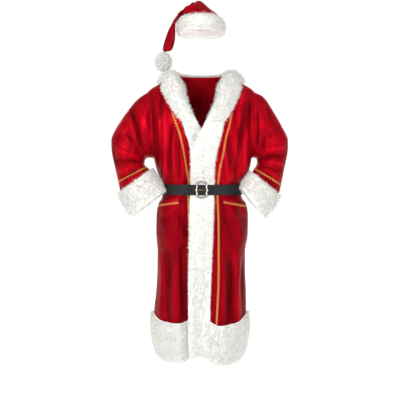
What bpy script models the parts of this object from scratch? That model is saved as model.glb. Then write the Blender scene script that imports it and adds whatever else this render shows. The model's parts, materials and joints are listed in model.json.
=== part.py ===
"""Santa suit worn by nobody: long belted coat, belt with buckle, and hat. Metres, +Z up, front towards -Y.
The origin is the middle of the wearer's neck at shoulder height, where the suit is held."""

import math

import bpy
import numpy as np

# ---------------------------------------------------------------- driving sizes
CLOTH = 0.0020  # wall of the velour pieces
SEAM = 0.0004  # gap left between two sewn pieces
BRAID_WIDTH, BRAID_THICK = 0.009, 0.0011
FUR_INSIDE = 0.004  # how far a plush piece reaches inside the cloth's surface
FUR_REACH = 0.010  # how far its pile reaches outside it
FUR_AT_BELT = 0.0030
BELT_HEIGHT, BELT_THICK, BELT_Z = 0.050, 0.0028, -0.491
ARMPIT_Z, TIP_Z, ARMHOLE_BACKSET = -0.340, -0.022, 17.0  # metres, metres, degrees
HALF_ROUND = 7  # steps in half an armhole
UNDER = 0.019  # how deep the right front passes behind the left band
BUCKLE_R, BUCKLE_WIRE = 0.0385, 0.0033
POMPOM_R, POMPOM_TALL = 0.040, 0.046

# z, half_width, shift, front_depth, back_depth, squareness
TRUNK = (
    (-1.276, 0.204, -0.005, 0.158, 0.150, 2.3),
    (-1.210, 0.217, -0.005, 0.160, 0.155, 2.3),
    (-1.140, 0.224, -0.005, 0.160, 0.156, 2.3),
    (-1.085, 0.2245, -0.0045, 0.158, 0.155, 2.3),
    (-0.990, 0.219, 0.000, 0.154, 0.152, 2.3),
    (-0.850, 0.2125, 0.001, 0.150, 0.148, 2.3),
    (-0.775, 0.213, 0.002, 0.150, 0.148, 2.4),
    (-0.700, 0.2210, 0.004, 0.152, 0.150, 2.4),
    (-0.620, 0.2215, 0.006, 0.152, 0.148, 2.4),
    (-0.560, 0.209, 0.006, 0.146, 0.136, 2.4),
    (-0.523, 0.191, 0.004, 0.137, 0.122, 2.5),
    (-0.491, 0.189, 0.003, 0.135, 0.118, 2.5),
    (-0.459, 0.191, 0.003, 0.137, 0.120, 2.5),
    (-0.430, 0.208, 0.006, 0.146, 0.130, 2.5),
    (-0.400, 0.222, 0.009, 0.152, 0.136, 2.5),
    (-0.340, 0.236, 0.008, 0.153, 0.140, 2.6),
    (-0.250, 0.246, 0.004, 0.148, 0.140, 2.7),
    (-0.120, 0.257, 0.000, 0.124, 0.132, 2.7),
    (-0.060, 0.260, 0.000, 0.100, 0.112, 2.6),
    (-0.022, 0.259, 0.000, 0.082, 0.095, 2.5),
    (0.012, 0.212, 0.000, 0.068, 0.082, 2.4),
    (0.035, 0.155, 0.000, 0.060, 0.074, 2.2),
    (0.055, 0.105, 0.000, 0.054, 0.068, 2.1),
)
# z, left_braid, right_braid: x of the zigzag braid down each front
FRONT_BRAIDS = (
    (-1.140, 0.070, -0.047),
    (-1.045, 0.075, -0.047),
    (-0.910, 0.082, -0.048),
    (-0.786, 0.083, -0.050),
    (-0.640, 0.082, -0.056),
    (-0.520, 0.078, -0.061),
    (-0.460, 0.081, -0.058),
    (-0.400, 0.087, -0.067),
    (-0.328, 0.103, -0.079),
    (-0.274, 0.112, -0.088),
    (-0.228, 0.122, -0.100),
    (-0.190, 0.133, -0.113),
    (-0.150, 0.141, -0.128),
    (-0.100, 0.150, -0.148),
)
# z, left_in, left_out, right_in, right_out: x of the plush bands' edges
BANDS = (
    (-1.276, -0.056, 0.036, 0.034, -0.035),
    (-1.085, -0.060, 0.043, 0.036, -0.035),
    (-0.946, -0.060, 0.046, 0.038, -0.035),
    (-0.786, -0.056, 0.052, 0.040, -0.035),
    (-0.640, -0.054, 0.057, 0.040, -0.037),
    (-0.490, -0.050, 0.063, 0.040, -0.040),
    (-0.378, -0.047, 0.064, 0.040, -0.043),
    (-0.315, -0.047, 0.072, 0.040, -0.049),
    (-0.249, -0.018, 0.089, 0.018, -0.066),
    (-0.218, -0.004, 0.094, 0.005, -0.077),
    (-0.168, 0.023, 0.098, -0.023, -0.090),
)
# angle from the front, inner_x, inner_z, outer_x, outer_z, lift, rise: each half of the collar, corner to back
COLLAR_LEFT = (
    (0.0, 0.024, -0.166, 0.124, -0.166, 0.004, 0.000),
    (12.0, 0.050, -0.112, 0.153, -0.116, 0.012, 0.000),
    (28.0, 0.074, -0.050, 0.178, -0.064, 0.020, 0.004),
    (50.0, 0.088, 0.008, 0.193, -0.014, 0.022, 0.006),
)
COLLAR_RIGHT = (
    (0.0, 0.024, -0.166, 0.097, -0.166, 0.004, 0.000),
    (12.0, 0.050, -0.112, 0.138, -0.116, 0.012, 0.000),
    (28.0, 0.074, -0.050, 0.170, -0.062, 0.020, 0.004),
    (50.0, 0.088, 0.008, 0.192, -0.012, 0.022, 0.006),
)
# angle, inner_z, outer_z, lift, rise: the collar over the shoulder and round the back
COLLAR_ROUND = (
    (78.0, 0.052, 0.014, 0.020, 0.008),
    (100.0, 0.052, 0.012, 0.018, 0.008),
    (125.0, 0.052, -0.022, 0.018, 0.012),
    (152.0, 0.052, -0.050, 0.018, 0.016),
    (180.0, 0.052, -0.060, 0.018, 0.018),
)
# angle from the front, left_drop, right_drop: how much lower than the sides the skirt hangs
HEM_DROP = (
    (0.0, 0.010, 0.010),
    (12.0, 0.022, 0.016),
    (32.0, 0.050, 0.038),
    (55.0, 0.040, 0.034),
    (90.0, 0.000, 0.000),
    (135.0, 0.012, 0.012),
    (180.0, 0.018, 0.018),
)
# side, x0, z0, x1, z1, width, height: ridges (+) and troughs (-) of the coat
TRUNK_FOLDS = (
    ("F", -0.150, -0.150, -0.141, -0.430, 0.017, -0.012),
    ("F", -0.184, -0.130, -0.172, -0.450, 0.016, 0.010),
    ("F", -0.118, -0.200, -0.112, -0.450, 0.015, 0.008),
    ("F", 0.204, -0.070, 0.176, -0.440, 0.018, 0.010),
    ("F", 0.150, -0.170, 0.166, -0.450, 0.016, 0.008),
    ("F", 0.178, -0.200, 0.128, -0.440, 0.013, -0.010),
    ("F", 0.131, -0.550, 0.204, -0.720, 0.032, 0.010),
    ("F", -0.100, -0.640, -0.092, -1.060, 0.020, -0.010),
    ("F", -0.135, -0.700, -0.150, -1.080, 0.024, 0.010),
    ("F", 0.128, -0.820, 0.140, -1.080, 0.022, -0.011),
    ("F", 0.172, -0.800, 0.182, -1.080, 0.022, 0.010),
    ("B", -0.150, -0.090, -0.060, -0.440, 0.024, 0.011),
    ("B", 0.140, -0.110, 0.080, -0.450, 0.022, 0.012),
    ("B", 0.010, -0.160, 0.002, -0.450, 0.020, -0.010),
    ("B", -0.110, -0.240, -0.140, -0.450, 0.018, -0.010),
    ("B", 0.130, -0.560, 0.155, -1.080, 0.026, 0.014),
    ("B", 0.060, -0.580, 0.070, -1.080, 0.024, -0.013),
    ("B", -0.010, -0.560, -0.015, -1.080, 0.026, 0.014),
    ("B", -0.085, -0.600, -0.095, -1.080, 0.024, -0.012),
    ("B", -0.140, -0.570, -0.160, -1.080, 0.024, 0.013),
)
# name, outer_x, outer_z, inner_x, inner_z, half_depth, y: the sleeve's sections, side = +1
SLEEVE_LEFT = (
    ("armhole", 0.259, -0.022, 0.240, -0.340, 0.078, 0.002),
    ("upper", 0.305, -0.048, 0.247, -0.339, 0.082, 0.004),
    ("upper", 0.348, -0.110, 0.255, -0.338, 0.086, 0.008),
    ("upper", 0.392, -0.185, 0.263, -0.339, 0.086, 0.014),
    ("elbow", 0.422, -0.254, 0.271, -0.346, 0.084, 0.016),
    ("elbow", 0.4195, -0.315, 0.272, -0.360, 0.080, 0.010),
    ("fore", 0.402, -0.393, 0.266, -0.378, 0.075, -0.008),
    ("braid", 0.385, -0.470, 0.257, -0.392, 0.070, -0.032),
    ("cuff_seam", 0.371, -0.5145, 0.244, -0.408, 0.066, -0.050),
    ("cuff", 0.337, -0.567, 0.221, -0.444, 0.062, -0.078),
    ("cuff_end", 0.298, -0.615, 0.196, -0.486, 0.058, -0.105),
)
SLEEVE_RIGHT = (
    ("armhole", 0.259, -0.022, 0.226, -0.340, 0.078, 0.002),
    ("upper", 0.312, -0.060, 0.234, -0.339, 0.082, 0.004),
    ("upper", 0.356, -0.112, 0.244, -0.338, 0.086, 0.008),
    ("upper", 0.405, -0.182, 0.256, -0.338, 0.086, 0.014),
    ("elbow", 0.4355, -0.254, 0.268, -0.343, 0.084, 0.016),
    ("elbow", 0.432, -0.315, 0.274, -0.356, 0.080, 0.010),
    ("fore", 0.414, -0.393, 0.273, -0.372, 0.077, -0.008),
    ("braid", 0.398, -0.455, 0.262, -0.384, 0.073, -0.032),
    ("cuff_seam", 0.386, -0.502, 0.243, -0.398, 0.070, -0.050),
    ("cuff", 0.360, -0.556, 0.213, -0.445, 0.066, -0.078),
    ("cuff_end", 0.322, -0.608, 0.180, -0.500, 0.060, -0.108),
)
BRAID_AT, CUFF_AT, CUFF_END = 7.0, 8.0, 10.0  # places along the sleeve's sections
# side, x0, z0, x1, z1, width, height on the sleeve of side +1 and of side -1
SLEEVE_FOLDS_LEFT = (
    ("F", 0.300, -0.330, 0.400, -0.230, 0.018, 0.010),
    ("F", 0.290, -0.345, 0.400, -0.310, 0.013, -0.009),
    ("F", 0.285, -0.300, 0.340, -0.160, 0.016, -0.010),
    ("F", 0.290, -0.080, 0.275, -0.270, 0.017, 0.009),
    ("F", 0.285, -0.375, 0.375, -0.400, 0.016, 0.008),
    ("B", 0.300, -0.330, 0.400, -0.220, 0.020, 0.010),
    ("B", 0.290, -0.310, 0.350, -0.170, 0.018, -0.009),
    ("B", 0.290, -0.360, 0.400, -0.360, 0.018, -0.008),
)
SLEEVE_FOLDS_RIGHT = (
    ("F", 0.300, -0.325, 0.410, -0.240, 0.018, 0.010),
    ("F", 0.285, -0.290, 0.330, -0.120, 0.017, -0.012),
    ("F", 0.262, -0.110, 0.262, -0.290, 0.016, 0.010),
    ("F", 0.290, -0.350, 0.410, -0.320, 0.014, -0.009),
    ("F", 0.290, -0.380, 0.385, -0.415, 0.016, 0.008),
    ("B", 0.300, -0.330, 0.410, -0.230, 0.020, 0.010),
    ("B", 0.290, -0.310, 0.350, -0.150, 0.018, -0.009),
    ("B", 0.295, -0.365, 0.400, -0.370, 0.018, -0.008),
)
# name, left_x, left_z, right_x, right_z, half_depth, y: the crown from head to tip, folded to -X
HAT = (
    ("rim", -0.094, 0.285, 0.094, 0.290, 0.1005, 0.000),
    ("band_top", -0.090, 0.335, 0.091, 0.340, 0.099, 0.000),
    ("rise", -0.089, 0.350, 0.048, 0.379, 0.093, 0.002),
    ("apex", -0.101, 0.353, -0.005, 0.4165, 0.080, 0.006),
    ("fold", -0.112, 0.348, -0.046, 0.391, 0.069, 0.010),
    ("fold", -0.121, 0.335, -0.090, 0.361, 0.058, 0.013),
    ("tail", -0.126, 0.310, -0.126, 0.331, 0.048, 0.014),
    ("tail", -0.1262, 0.282, -0.154, 0.287, 0.041, 0.012),
    ("tail", -0.137, 0.228, -0.175, 0.229, 0.034, 0.008),
    ("tip", -0.150, 0.182, -0.186, 0.183, 0.026, 0.002),
    ("tip", -0.166, 0.1715, -0.180, 0.1715, 0.010, 0.000),
)
HAT_BAND_RX, HAT_BAND_RY, HAT_BAND_THICK = 0.1115, 0.118, 0.0145
# angle from the front, bottom_z, top_z of the hat's band
HAT_BAND = (
    (0.0, 0.262, 0.352),
    (45.0, 0.262, 0.344),
    (90.0, 0.256, 0.322),
    (135.0, 0.250, 0.322),
    (180.0, 0.248, 0.326),
    (225.0, 0.250, 0.322),
    (270.0, 0.256, 0.322),
    (315.0, 0.262, 0.344),
    (360.0, 0.262, 0.352),
)
POCKET_FROM, POCKET_TO, POCKET_BOTTOM, POCKET_TOP = 0.108, 80.0, -0.772, -0.524
POCKET_SLANT, POCKET_BRAID_DOWN, POCKET_THICK = 0.22, 0.026, 0.0016

# name: colour, roughness, metallic
MATERIALS = {
    "red_velour": ((0.46, 0.004, 0.012, 1.0), 0.55, 0.0),
    "white_plush": ((0.80, 0.80, 0.76, 1.0), 0.95, 0.0),
    "gold_braid": ((0.70, 0.34, 0.10, 1.0), 0.40, 0.6),
    "black_belt": ((0.012, 0.013, 0.014, 1.0), 0.45, 0.0),
    "buckle_metal": ((0.45, 0.42, 0.36, 1.0), 0.32, 1.0),
}


# ---------------------------------------------------------------- sheets and solids
def clear_scene():
    for obj in list(bpy.data.objects):
        bpy.data.objects.remove(obj, do_unlink=True)
    suit = bpy.data.collections.new("santa_suit")
    bpy.context.scene.collection.children.link(suit)
    return suit


def material(name):
    if name in bpy.data.materials:
        return bpy.data.materials[name]
    made = bpy.data.materials.new(name)
    made.use_nodes = True
    colour, roughness, metallic = MATERIALS[name]
    shader = made.node_tree.nodes["Principled BSDF"]
    shader.inputs["Base Color"].default_value = colour
    shader.inputs["Roughness"].default_value = roughness
    shader.inputs["Metallic"].default_value = metallic
    made.diffuse_color = colour
    return made


def add_mesh(name, points, faces, slot, smooth=True):
    mesh = bpy.data.meshes.new(name)
    mesh.from_pydata(points.tolist(), [], faces)
    mesh.validate()
    corners = np.array([points[list(f[:3])] for f in faces])
    far = np.array([points[[f[0], f[2], f[3]]] for f in faces if len(f) == 4])
    if np.linalg.det(np.concatenate([corners, far]) if len(far) else corners).sum() < 0:
        mesh.flip_normals()
    mesh.polygons.foreach_set("use_smooth", [smooth] * len(mesh.polygons))
    mesh.materials.append(material(slot))
    obj = bpy.data.objects.new(name, mesh)
    SUIT.objects.link(obj)
    return obj


def shell(name, outer, inner, slot, round_columns=False):
    """A wall between two grids of points, rows by columns; round_columns joins the last column to the first."""
    rows, columns = outer.shape[:2]
    points = np.concatenate([outer.reshape(-1, 3), inner.reshape(-1, 3)])
    at = lambda side, r, c: side * rows * columns + r * columns + c % columns
    faces = []
    for r in range(rows - 1):
        for c in range(columns if round_columns else columns - 1):
            faces.append((at(0, r, c), at(0, r, c + 1), at(0, r + 1, c + 1), at(0, r + 1, c)))
            faces.append((at(1, r, c), at(1, r + 1, c), at(1, r + 1, c + 1), at(1, r, c + 1)))
    for c in range(columns if round_columns else columns - 1):
        faces.append((at(0, 0, c + 1), at(0, 0, c), at(1, 0, c), at(1, 0, c + 1)))
        last = rows - 1
        faces.append((at(0, last, c), at(0, last, c + 1), at(1, last, c + 1), at(1, last, c)))
    if not round_columns:
        for r in range(rows - 1):
            faces.append((at(0, r, 0), at(0, r + 1, 0), at(1, r + 1, 0), at(1, r, 0)))
            end = columns - 1
            faces.append((at(0, r + 1, end), at(0, r, end), at(1, r, end), at(1, r + 1, end)))
    return add_mesh(name, points, faces, slot)


def column(table, index, at, key=0):
    """A table's column as a smooth curve of its key column."""
    xs = np.array([row[key] for row in table], float)
    ys = np.array([row[index] for row in table], float)
    return smooth_curve(xs, ys, at)


def smooth_curve(xs, ys, at):
    """Cubic curve through the points whose slope at each is the mean of its neighbours', level at a turn."""
    order = np.argsort(xs)
    xs, ys = xs[order], ys[order]
    at = np.clip(np.asarray(at, float), xs[0], xs[-1])
    steps = np.diff(ys) / np.diff(xs)
    slopes = np.concatenate([[steps[0]], (steps[:-1] + steps[1:]) / 2, [steps[-1]]])
    turn = np.concatenate([[False], steps[:-1] * steps[1:] <= 0, [False]])
    slopes[turn] = 0.0
    i = np.clip(np.searchsorted(xs, at, side="right") - 1, 0, len(xs) - 2)
    width = xs[i + 1] - xs[i]
    t = (at - xs[i]) / width
    return (
        ys[i] * (1 + 2 * t) * (1 - t) ** 2
        + slopes[i] * width * t * (1 - t) ** 2
        + ys[i + 1] * t * t * (3 - 2 * t)
        + slopes[i + 1] * width * t * t * (t - 1)
    )


def smoothstep(t):
    t = np.clip(t, 0.0, 1.0)
    return t * t * (3 - 2 * t)


def fold_height(table, x, z, front):
    """Sum of the table's ridges and troughs at (x, z) on the front (front = 1) or the back (front = 0)."""
    total = np.zeros(np.broadcast(x, z).shape)
    for side, x0, z0, x1, z1, width, height in table:
        length = math.hypot(x1 - x0, z1 - z0)
        along = ((x - x0) * (x1 - x0) + (z - z0) * (z1 - z0)) / length
        across = ((x - x0) * (z1 - z0) - (z - z0) * (x1 - x0)) / length
        t = along / length
        ends = smoothstep((t + 0.12) / 0.35) * smoothstep((1.12 - t) / 0.35)
        here = front if side == "F" else 1 - front
        total = total + height * np.exp(-((across / width) ** 2)) * ends * here
    return total


def normals_of(surface, u, v, du, dv):
    """Unit normals of surface(u, v) by differences, turned by `sign` of the caller."""
    a = surface(u + du, v) - surface(u - du, v)
    b = surface(u, v + dv) - surface(u, v - dv)
    n = np.cross(a, b)
    return n / np.linalg.norm(n, axis=-1, keepdims=True)


# ---------------------------------------------------------------- the trunk of the coat
def angle_at(x, z):
    """The angle from the front of the point of the front whose x is given."""
    w, d, e = column(TRUNK, 1, z), column(TRUNK, 3, z), column(TRUNK, 5, z)
    off = np.clip((x - column(TRUNK, 2, z)) / w, -0.999, 0.999)
    return np.degrees(np.arctan2(off * w, d * (1 - np.abs(off) ** e) ** (1 / e)))


def armhole_angle(z):
    """How far the front and the back stop short of the side, in degrees, at the armhole's rows."""
    u = np.clip((z - ARMPIT_Z) / (TIP_Z - ARMPIT_Z), 0.0, 1.0)
    return ARMHOLE_BACKSET * 2 * np.sqrt(u * (1 - u))


def trunk(angle, z, under=0.0):
    """The coat's outer surface at an angle from the front (degrees, + towards +X) and a height."""
    angle, z = np.broadcast_arrays(np.asarray(angle, float), np.asarray(z, float))
    a = np.radians(angle)
    w, e = column(TRUNK, 1, z), column(TRUNK, 5, z)
    d = np.where(np.cos(a) > 0, column(TRUNK, 3, z), column(TRUNK, 4, z))
    r = ((np.abs(np.sin(a)) / w) ** e + (np.abs(np.cos(a)) / d) ** e) ** (-1 / e)
    x, y = r * np.sin(a), -r * np.cos(a)
    turned = np.abs((angle + 180) % 360 - 180)
    front = (turned < 90).astype(float)
    # folds fade out at the sides, at the armholes, at the hem's plush and under the belt
    fade = smoothstep((np.abs(turned - 90) - armhole_angle(z) - 1.5) / 16)
    fade = fade * smoothstep((z + 1.10) / 0.10) * smoothstep((-z - 0.02) / 0.06)
    fade = fade * smoothstep((np.abs(z - BELT_Z) - 0.034) / 0.030)
    x = x + column(TRUNK, 2, z)
    raised = fold_height(TRUNK_FOLDS, x, z, front) * fade
    out = np.stack([np.sin(a), -np.cos(a) * 1.2], axis=-1)
    out = out / np.linalg.norm(out, axis=-1, keepdims=True)
    x, y = x + raised * out[..., 0], y + raised * out[..., 1]
    # the skirt hangs lower in front, with its middle set back between the knees
    low = smoothstep((-z - 0.62) / 0.44)
    drop = np.where(
        (angle + 180) % 360 - 180 > 0, column(HEM_DROP, 1, turned), column(HEM_DROP, 2, turned)
    )
    y = y + 0.034 * low**2 * np.exp(-(((x - 0.0) / 0.062) ** 2)) * front
    y = y + under * (1 + 0.45 * smoothstep((-z - 0.95) / 0.12)) * smoothstep(
        (x - column(BANDS, 1, z) + 0.052) / 0.046
    )
    return np.stack([x, y, z - drop * low], axis=-1)


def trunk_normal(angle, z, under=0.0):
    n = normals_of(lambda a, h: trunk(a, h, under), angle, z, 0.4, 0.0015)
    middle = np.stack([np.sin(np.radians(angle)), -np.cos(np.radians(angle)), 0 * angle], -1)
    return n * np.sign((n * middle).sum(-1, keepdims=True))


def on_trunk(angle, z, height, under=0.0):
    angle, z = np.broadcast_arrays(np.asarray(angle, float), np.asarray(z, float))
    return trunk(angle, z, under) + trunk_normal(angle, z, under) * np.asarray(height)[..., None]


def trunk_rows():
    """Heights of the panels' rows; the armhole's match the steps round the sleeve's first section."""
    low = [-1.085, -1.0, -0.91, -0.82, -0.74, -0.67, -0.60, -0.55, -0.516, -0.466, -0.435, -0.40, -0.365]
    k = np.arange(HALF_ROUND + 1)
    arm = ARMPIT_Z + (TIP_Z - ARMPIT_Z) * (1 - np.cos(np.pi * k / HALF_ROUND)) / 2
    return np.concatenate([low, arm, [0.012, 0.034, 0.055]])


def seam_x(side, z):
    """x of the seam between a front and its plush band, straight between the panels' rows."""
    rows = trunk_rows()
    edge = [0.094, 0.098, 0.088] if side > 0 else [0.088, 0.092, 0.088]
    inside = side * np.interp(rows, [-0.17, -0.10, 0.055], edge)
    seam = np.where(rows < -0.17, column(BANDS, 2 if side > 0 else 4, rows), inside)
    low = column(BANDS, 2 if side > 0 else 4, z)
    return np.where(np.asarray(z) < rows[0], low, np.interp(z, rows, seam))


def front_columns(side):
    """Angles of a front panel's columns at each row: seam, the braid's two edges, then on to the side."""
    z = trunk_rows()
    seam = seam_x(side, z)
    braid = column(FRONT_BRAIDS, 1 if side > 0 else 2, z)
    first = angle_at(seam, z) + side * np.degrees(2 * SEAM / 0.16)
    gap = np.degrees(SEAM / 2 / column(TRUNK, 1, z))
    armhole = (z > ARMPIT_Z + 1e-6) & (z < TIP_Z - 1e-6)
    last = side * (90 - np.where(armhole, armhole_angle(z), gap))
    braid = np.where(z > -0.09, 0, braid)
    edges = [angle_at(braid - side * k * BRAID_WIDTH / 2, z) for k in (1, -1)]
    share = [(e - first) / (last - first) for e in edges]
    held = int(np.argmax(z > -0.09)) - 1
    share = [np.where(z > -0.09, s[held], s) for s in share]
    rest = share[1][:, None] + (1 - share[1][:, None]) * np.linspace(0, 1, 6)[None, 1:]
    shares = np.concatenate([np.zeros((len(z), 1)), share[0][:, None], share[1][:, None], rest], 1)
    return first[:, None] + (last - first)[:, None] * shares, z[:, None] + 0 * shares, held


def build_trunk():
    z = trunk_rows()
    gap = np.degrees(SEAM / 2 / column(TRUNK, 1, z))
    armhole = (z > ARMPIT_Z + 1e-6) & (z < TIP_Z - 1e-6)
    start = 90 + np.where(armhole, armhole_angle(z), gap)
    angles = start[:, None] + (360 - 2 * start)[:, None] * np.linspace(0, 1, 15)[None, :]
    z2 = z[:, None] + 0 * angles
    shell("coat_back", on_trunk(angles, z2, 0 * z2), on_trunk(angles, z2, 0 * z2 - CLOTH), "red_velour")
    for side, word in ((1, "left"), (-1, "right")):
        under = 0.0 if side > 0 else UNDER
        angles, z2, held = front_columns(side)
        name = "coat_front_" + word
        shell(
            name, on_trunk(angles, z2, 0 * z2, under), on_trunk(angles, z2, 0 * z2 - CLOTH, under), "red_velour"
        )
        a, h = angles[: held + 1, 1:3], z2[: held + 1, 1:3]
        shell(
            "braid_front_" + word,
            on_trunk(a, h, 0 * h + SEAM + BRAID_THICK, under),
            on_trunk(a, h, 0 * h + SEAM, under),
            "gold_braid",
        )


def build_bands():
    """The plush strips down the fronts; the left one lies over the right one."""
    rows = trunk_rows()
    z = np.concatenate([[-1.276, -1.21, -1.15], rows[rows < -0.17], [-0.168]])
    across = np.linspace(0, 1, 5)[None, :]
    for side, word, i in ((1, "left", 1), (-1, "right", 3)):
        under = 0.0 if side > 0 else UNDER
        near, far = column(BANDS, i, z)[:, None], seam_x(side, z)[:, None]
        x = near + (far - side * SEAM / 2 - near) * across
        z2 = z[:, None] + 0 * x
        angles = angle_at(x, z2)
        pile = FUR_REACH * (0.62 + 0.38 * np.sin(np.pi * across) ** 0.6)
        pressed = FUR_AT_BELT + 0.15 * (FUR_REACH - FUR_AT_BELT) * smoothstep((np.abs(z2 - BELT_Z) - 0.026) / 0.03)
        pile = np.where(np.abs(z2 - BELT_Z) < 0.06, pressed, pile + 0 * z2)
        if side < 0:
            pile = pile * 0.8
        shell(
            "fur_front_" + word,
            on_trunk(angles, z2, pile, under),
            on_trunk(angles, z2, 0 * z2 - FUR_INSIDE, under),
            "white_plush",
        )


def build_hem():
    """The plush band below the coat's three panels, from one front band round to the other."""
    left, right = front_columns(1)[0][0], 360 + front_columns(-1)[0][0]
    top = np.concatenate([left, np.linspace(90, 270, 15)[1:-1], right[::-1]])
    share = ((top - top[0]) / (top[-1] - top[0]))[None, :]
    rows = np.array([0.0, 0.2, 0.75, 1.0])
    z = (-1.0855 - SEAM + rows * (-1.276 + 1.0855))[:, None]
    first = angle_at(seam_x(1, z) + SEAM, z)
    last = 360 + angle_at(seam_x(-1, z) - SEAM, z)
    angles = first + (last - first) * share
    z2 = z + 0 * angles
    pile = np.array([0.006, 0.013, 0.014, 0.009])[:, None]
    near_band = smoothstep((360 + angle_at(-0.075 + 0 * z, z) - angles) / 12)
    pile = 0.005 + (pile - 0.005) * near_band
    under = np.where(angles > 270, UNDER, 0.0)
    shell(
        "fur_hem",
        on_trunk(angles, z2, pile, under),
        on_trunk(angles, z2, 0 * z2 - FUR_INSIDE, under),
        "white_plush",
    )


def collar_stations(corner):
    """Per station: the angle and height of the collar's seam and of its outer edge, its lift and its rise."""
    rows = []
    for _, inner_x, inner_z, outer_x, outer_z, lift, rise in corner:
        rows.append((float(angle_at(inner_x, inner_z)), inner_z, float(angle_at(outer_x, outer_z)), outer_z, lift, rise))
    for angle, inner_z, outer_z, lift, rise in COLLAR_ROUND:
        rows.append((angle, inner_z, angle, outer_z, lift, rise))
    return np.array(rows)


def build_collar():
    half = collar_stations(COLLAR_LEFT)
    other = collar_stations(COLLAR_RIGHT)[-2::-1].copy()
    other[:, [0, 2]] = 360 - other[:, [0, 2]]
    # the back's angles run on past 180 degrees to the right side
    table = np.concatenate([half, other])
    key = np.concatenate([[0], np.cumsum(np.hypot(*(np.diff(table[:, [2, 3]], axis=0) * [0.0035, 1]).T))])
    at = np.interp(np.linspace(0, len(key) - 1, 25), np.arange(len(key)), key)
    rows = np.stack([smooth_curve(key, table[:, i], at) for i in range(6)], 1)
    v = np.linspace(0, 1, 6)[None, :]
    angle = rows[:, [0]] + (rows[:, [2]] - rows[:, [0]]) * v
    z = rows[:, [1]] + (rows[:, [3]] - rows[:, [1]]) * v
    swell = np.sin(np.pi * v**1.1)
    base = 0.0056 + rows[:, [4]] * swell
    edge = 0.55 + 0.45 * np.sin(np.pi * v) ** 0.5
    rise = (rows[:, [5]] * np.sin(np.pi * v**0.8))[..., None] * np.array([0, 0, 1.0])
    inner = on_trunk(angle, z, base) + rise
    outer = on_trunk(angle, z, base + 0.015 * edge) + rise
    shell("fur_collar", outer, inner, "white_plush")


def build_pockets():
    rows = np.array([0.0, 0.24, 0.48])
    for side, word in ((1, "left"), (-1, "right")):
        under = 0.0 if side > 0 else UNDER
        first = float(angle_at(side * POCKET_FROM, -0.6))
        angles = first + (side * POCKET_TO - first) * np.linspace(0, 1, 7)[None, :]
        x = np.abs(trunk(angles, -0.6 + 0 * angles)[..., 0])
        top = POCKET_TOP - POCKET_SLANT * (x - POCKET_FROM)
        lower = (top - POCKET_BRAID_DOWN - BRAID_WIDTH - POCKET_BOTTOM) / (top - POCKET_BOTTOM)
        upper = (top - POCKET_BRAID_DOWN - POCKET_BOTTOM) / (top - POCKET_BOTTOM)
        shares = np.concatenate([rows[:, None] / 0.72 * lower, lower, upper, 0 * upper + 1], 0)
        z = POCKET_BOTTOM + (top - POCKET_BOTTOM) * shares
        angles = angles + 0 * z
        gape = 0.0040 + 0.003 * smoothstep((shares - 0.55) / 0.45)
        cloth = lambda extra: on_trunk(angles, z, gape + extra, under)
        shell("pocket_" + word, cloth(POCKET_THICK), cloth(0.0), "red_velour")
        strip = lambda extra: on_trunk(angles, z, gape + extra, under)[3:5]
        shell(
            "braid_pocket_" + word,
            strip(POCKET_THICK + SEAM + BRAID_THICK),
            strip(POCKET_THICK + SEAM),
            "gold_braid",
        )


# ---------------------------------------------------------------- sleeves and cuffs
def sleeve(side, turn, at):
    """The sleeve's surface: turn (degrees, 0 on the outer line, 90 in front), at = place along its sections."""
    table = SLEEVE_LEFT if side > 0 else SLEEVE_RIGHT
    turn, at = np.broadcast_arrays(np.asarray(turn, float), np.asarray(at, float))
    keys = np.arange(len(table))
    ox, oz, ix, iz, depth, y0 = (
        smooth_curve(keys, np.array([row[k] for row in table]), at) for k in range(1, 7)
    )
    c, s = np.cos(np.radians(turn)), np.sin(np.radians(turn))
    x = (ox + ix) / 2 + (ox - ix) / 2 * c
    z = (oz + iz) / 2 + (oz - iz) / 2 * c
    y = y0 - depth * np.sign(s) * np.abs(s) ** 0.92
    folds = SLEEVE_FOLDS_LEFT if side > 0 else SLEEVE_FOLDS_RIGHT
    raised = fold_height(folds, x, z, (s > 0).astype(float))
    fade = smoothstep(np.abs(s) / 0.6) * smoothstep((at - 0.1) / 1.2) * smoothstep((7.2 - at) / 1.0)
    y = y - raised * fade * np.sign(s)
    # the first section follows the armhole cut in the trunk
    up = (1 + c) / 2
    loop_z = ARMPIT_Z + (TIP_Z - ARMPIT_Z) * up
    back = armhole_angle(loop_z)
    loop = trunk(side * np.where(s >= 0, 90 - back, 90 + back), loop_z)
    row = table[0]
    start = np.stack(
        [
            side * ((row[1] + row[3]) / 2 + (row[1] - row[3]) / 2 * c),
            row[6] - row[5] * np.sign(s) * np.abs(s) ** 0.92,
            (row[2] + row[4]) / 2 + (row[2] - row[4]) / 2 * c,
        ],
        -1,
    )
    blend = 1 - smoothstep(at / 1.8)
    loop = loop + np.array([side * 2.2 * SEAM, 0, 0])
    return np.stack([side * x, y, z], -1) + (loop - start) * blend[..., None]


def on_sleeve(side, turn, at, height):
    turn, at = np.broadcast_arrays(np.asarray(turn, float), np.asarray(at, float))
    n = normals_of(lambda a, b: sleeve(side, a, np.clip(b, 0, CUFF_END)), turn, at, 1.0, 0.02)
    here = sleeve(side, turn, at)
    middle = (sleeve(side, 0 * turn, at) + sleeve(side, 0 * turn + 180, at)) / 2
    n = n * np.sign((n * (here - middle)).sum(-1, keepdims=True))
    return here + n * np.asarray(height)[..., None]


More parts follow.
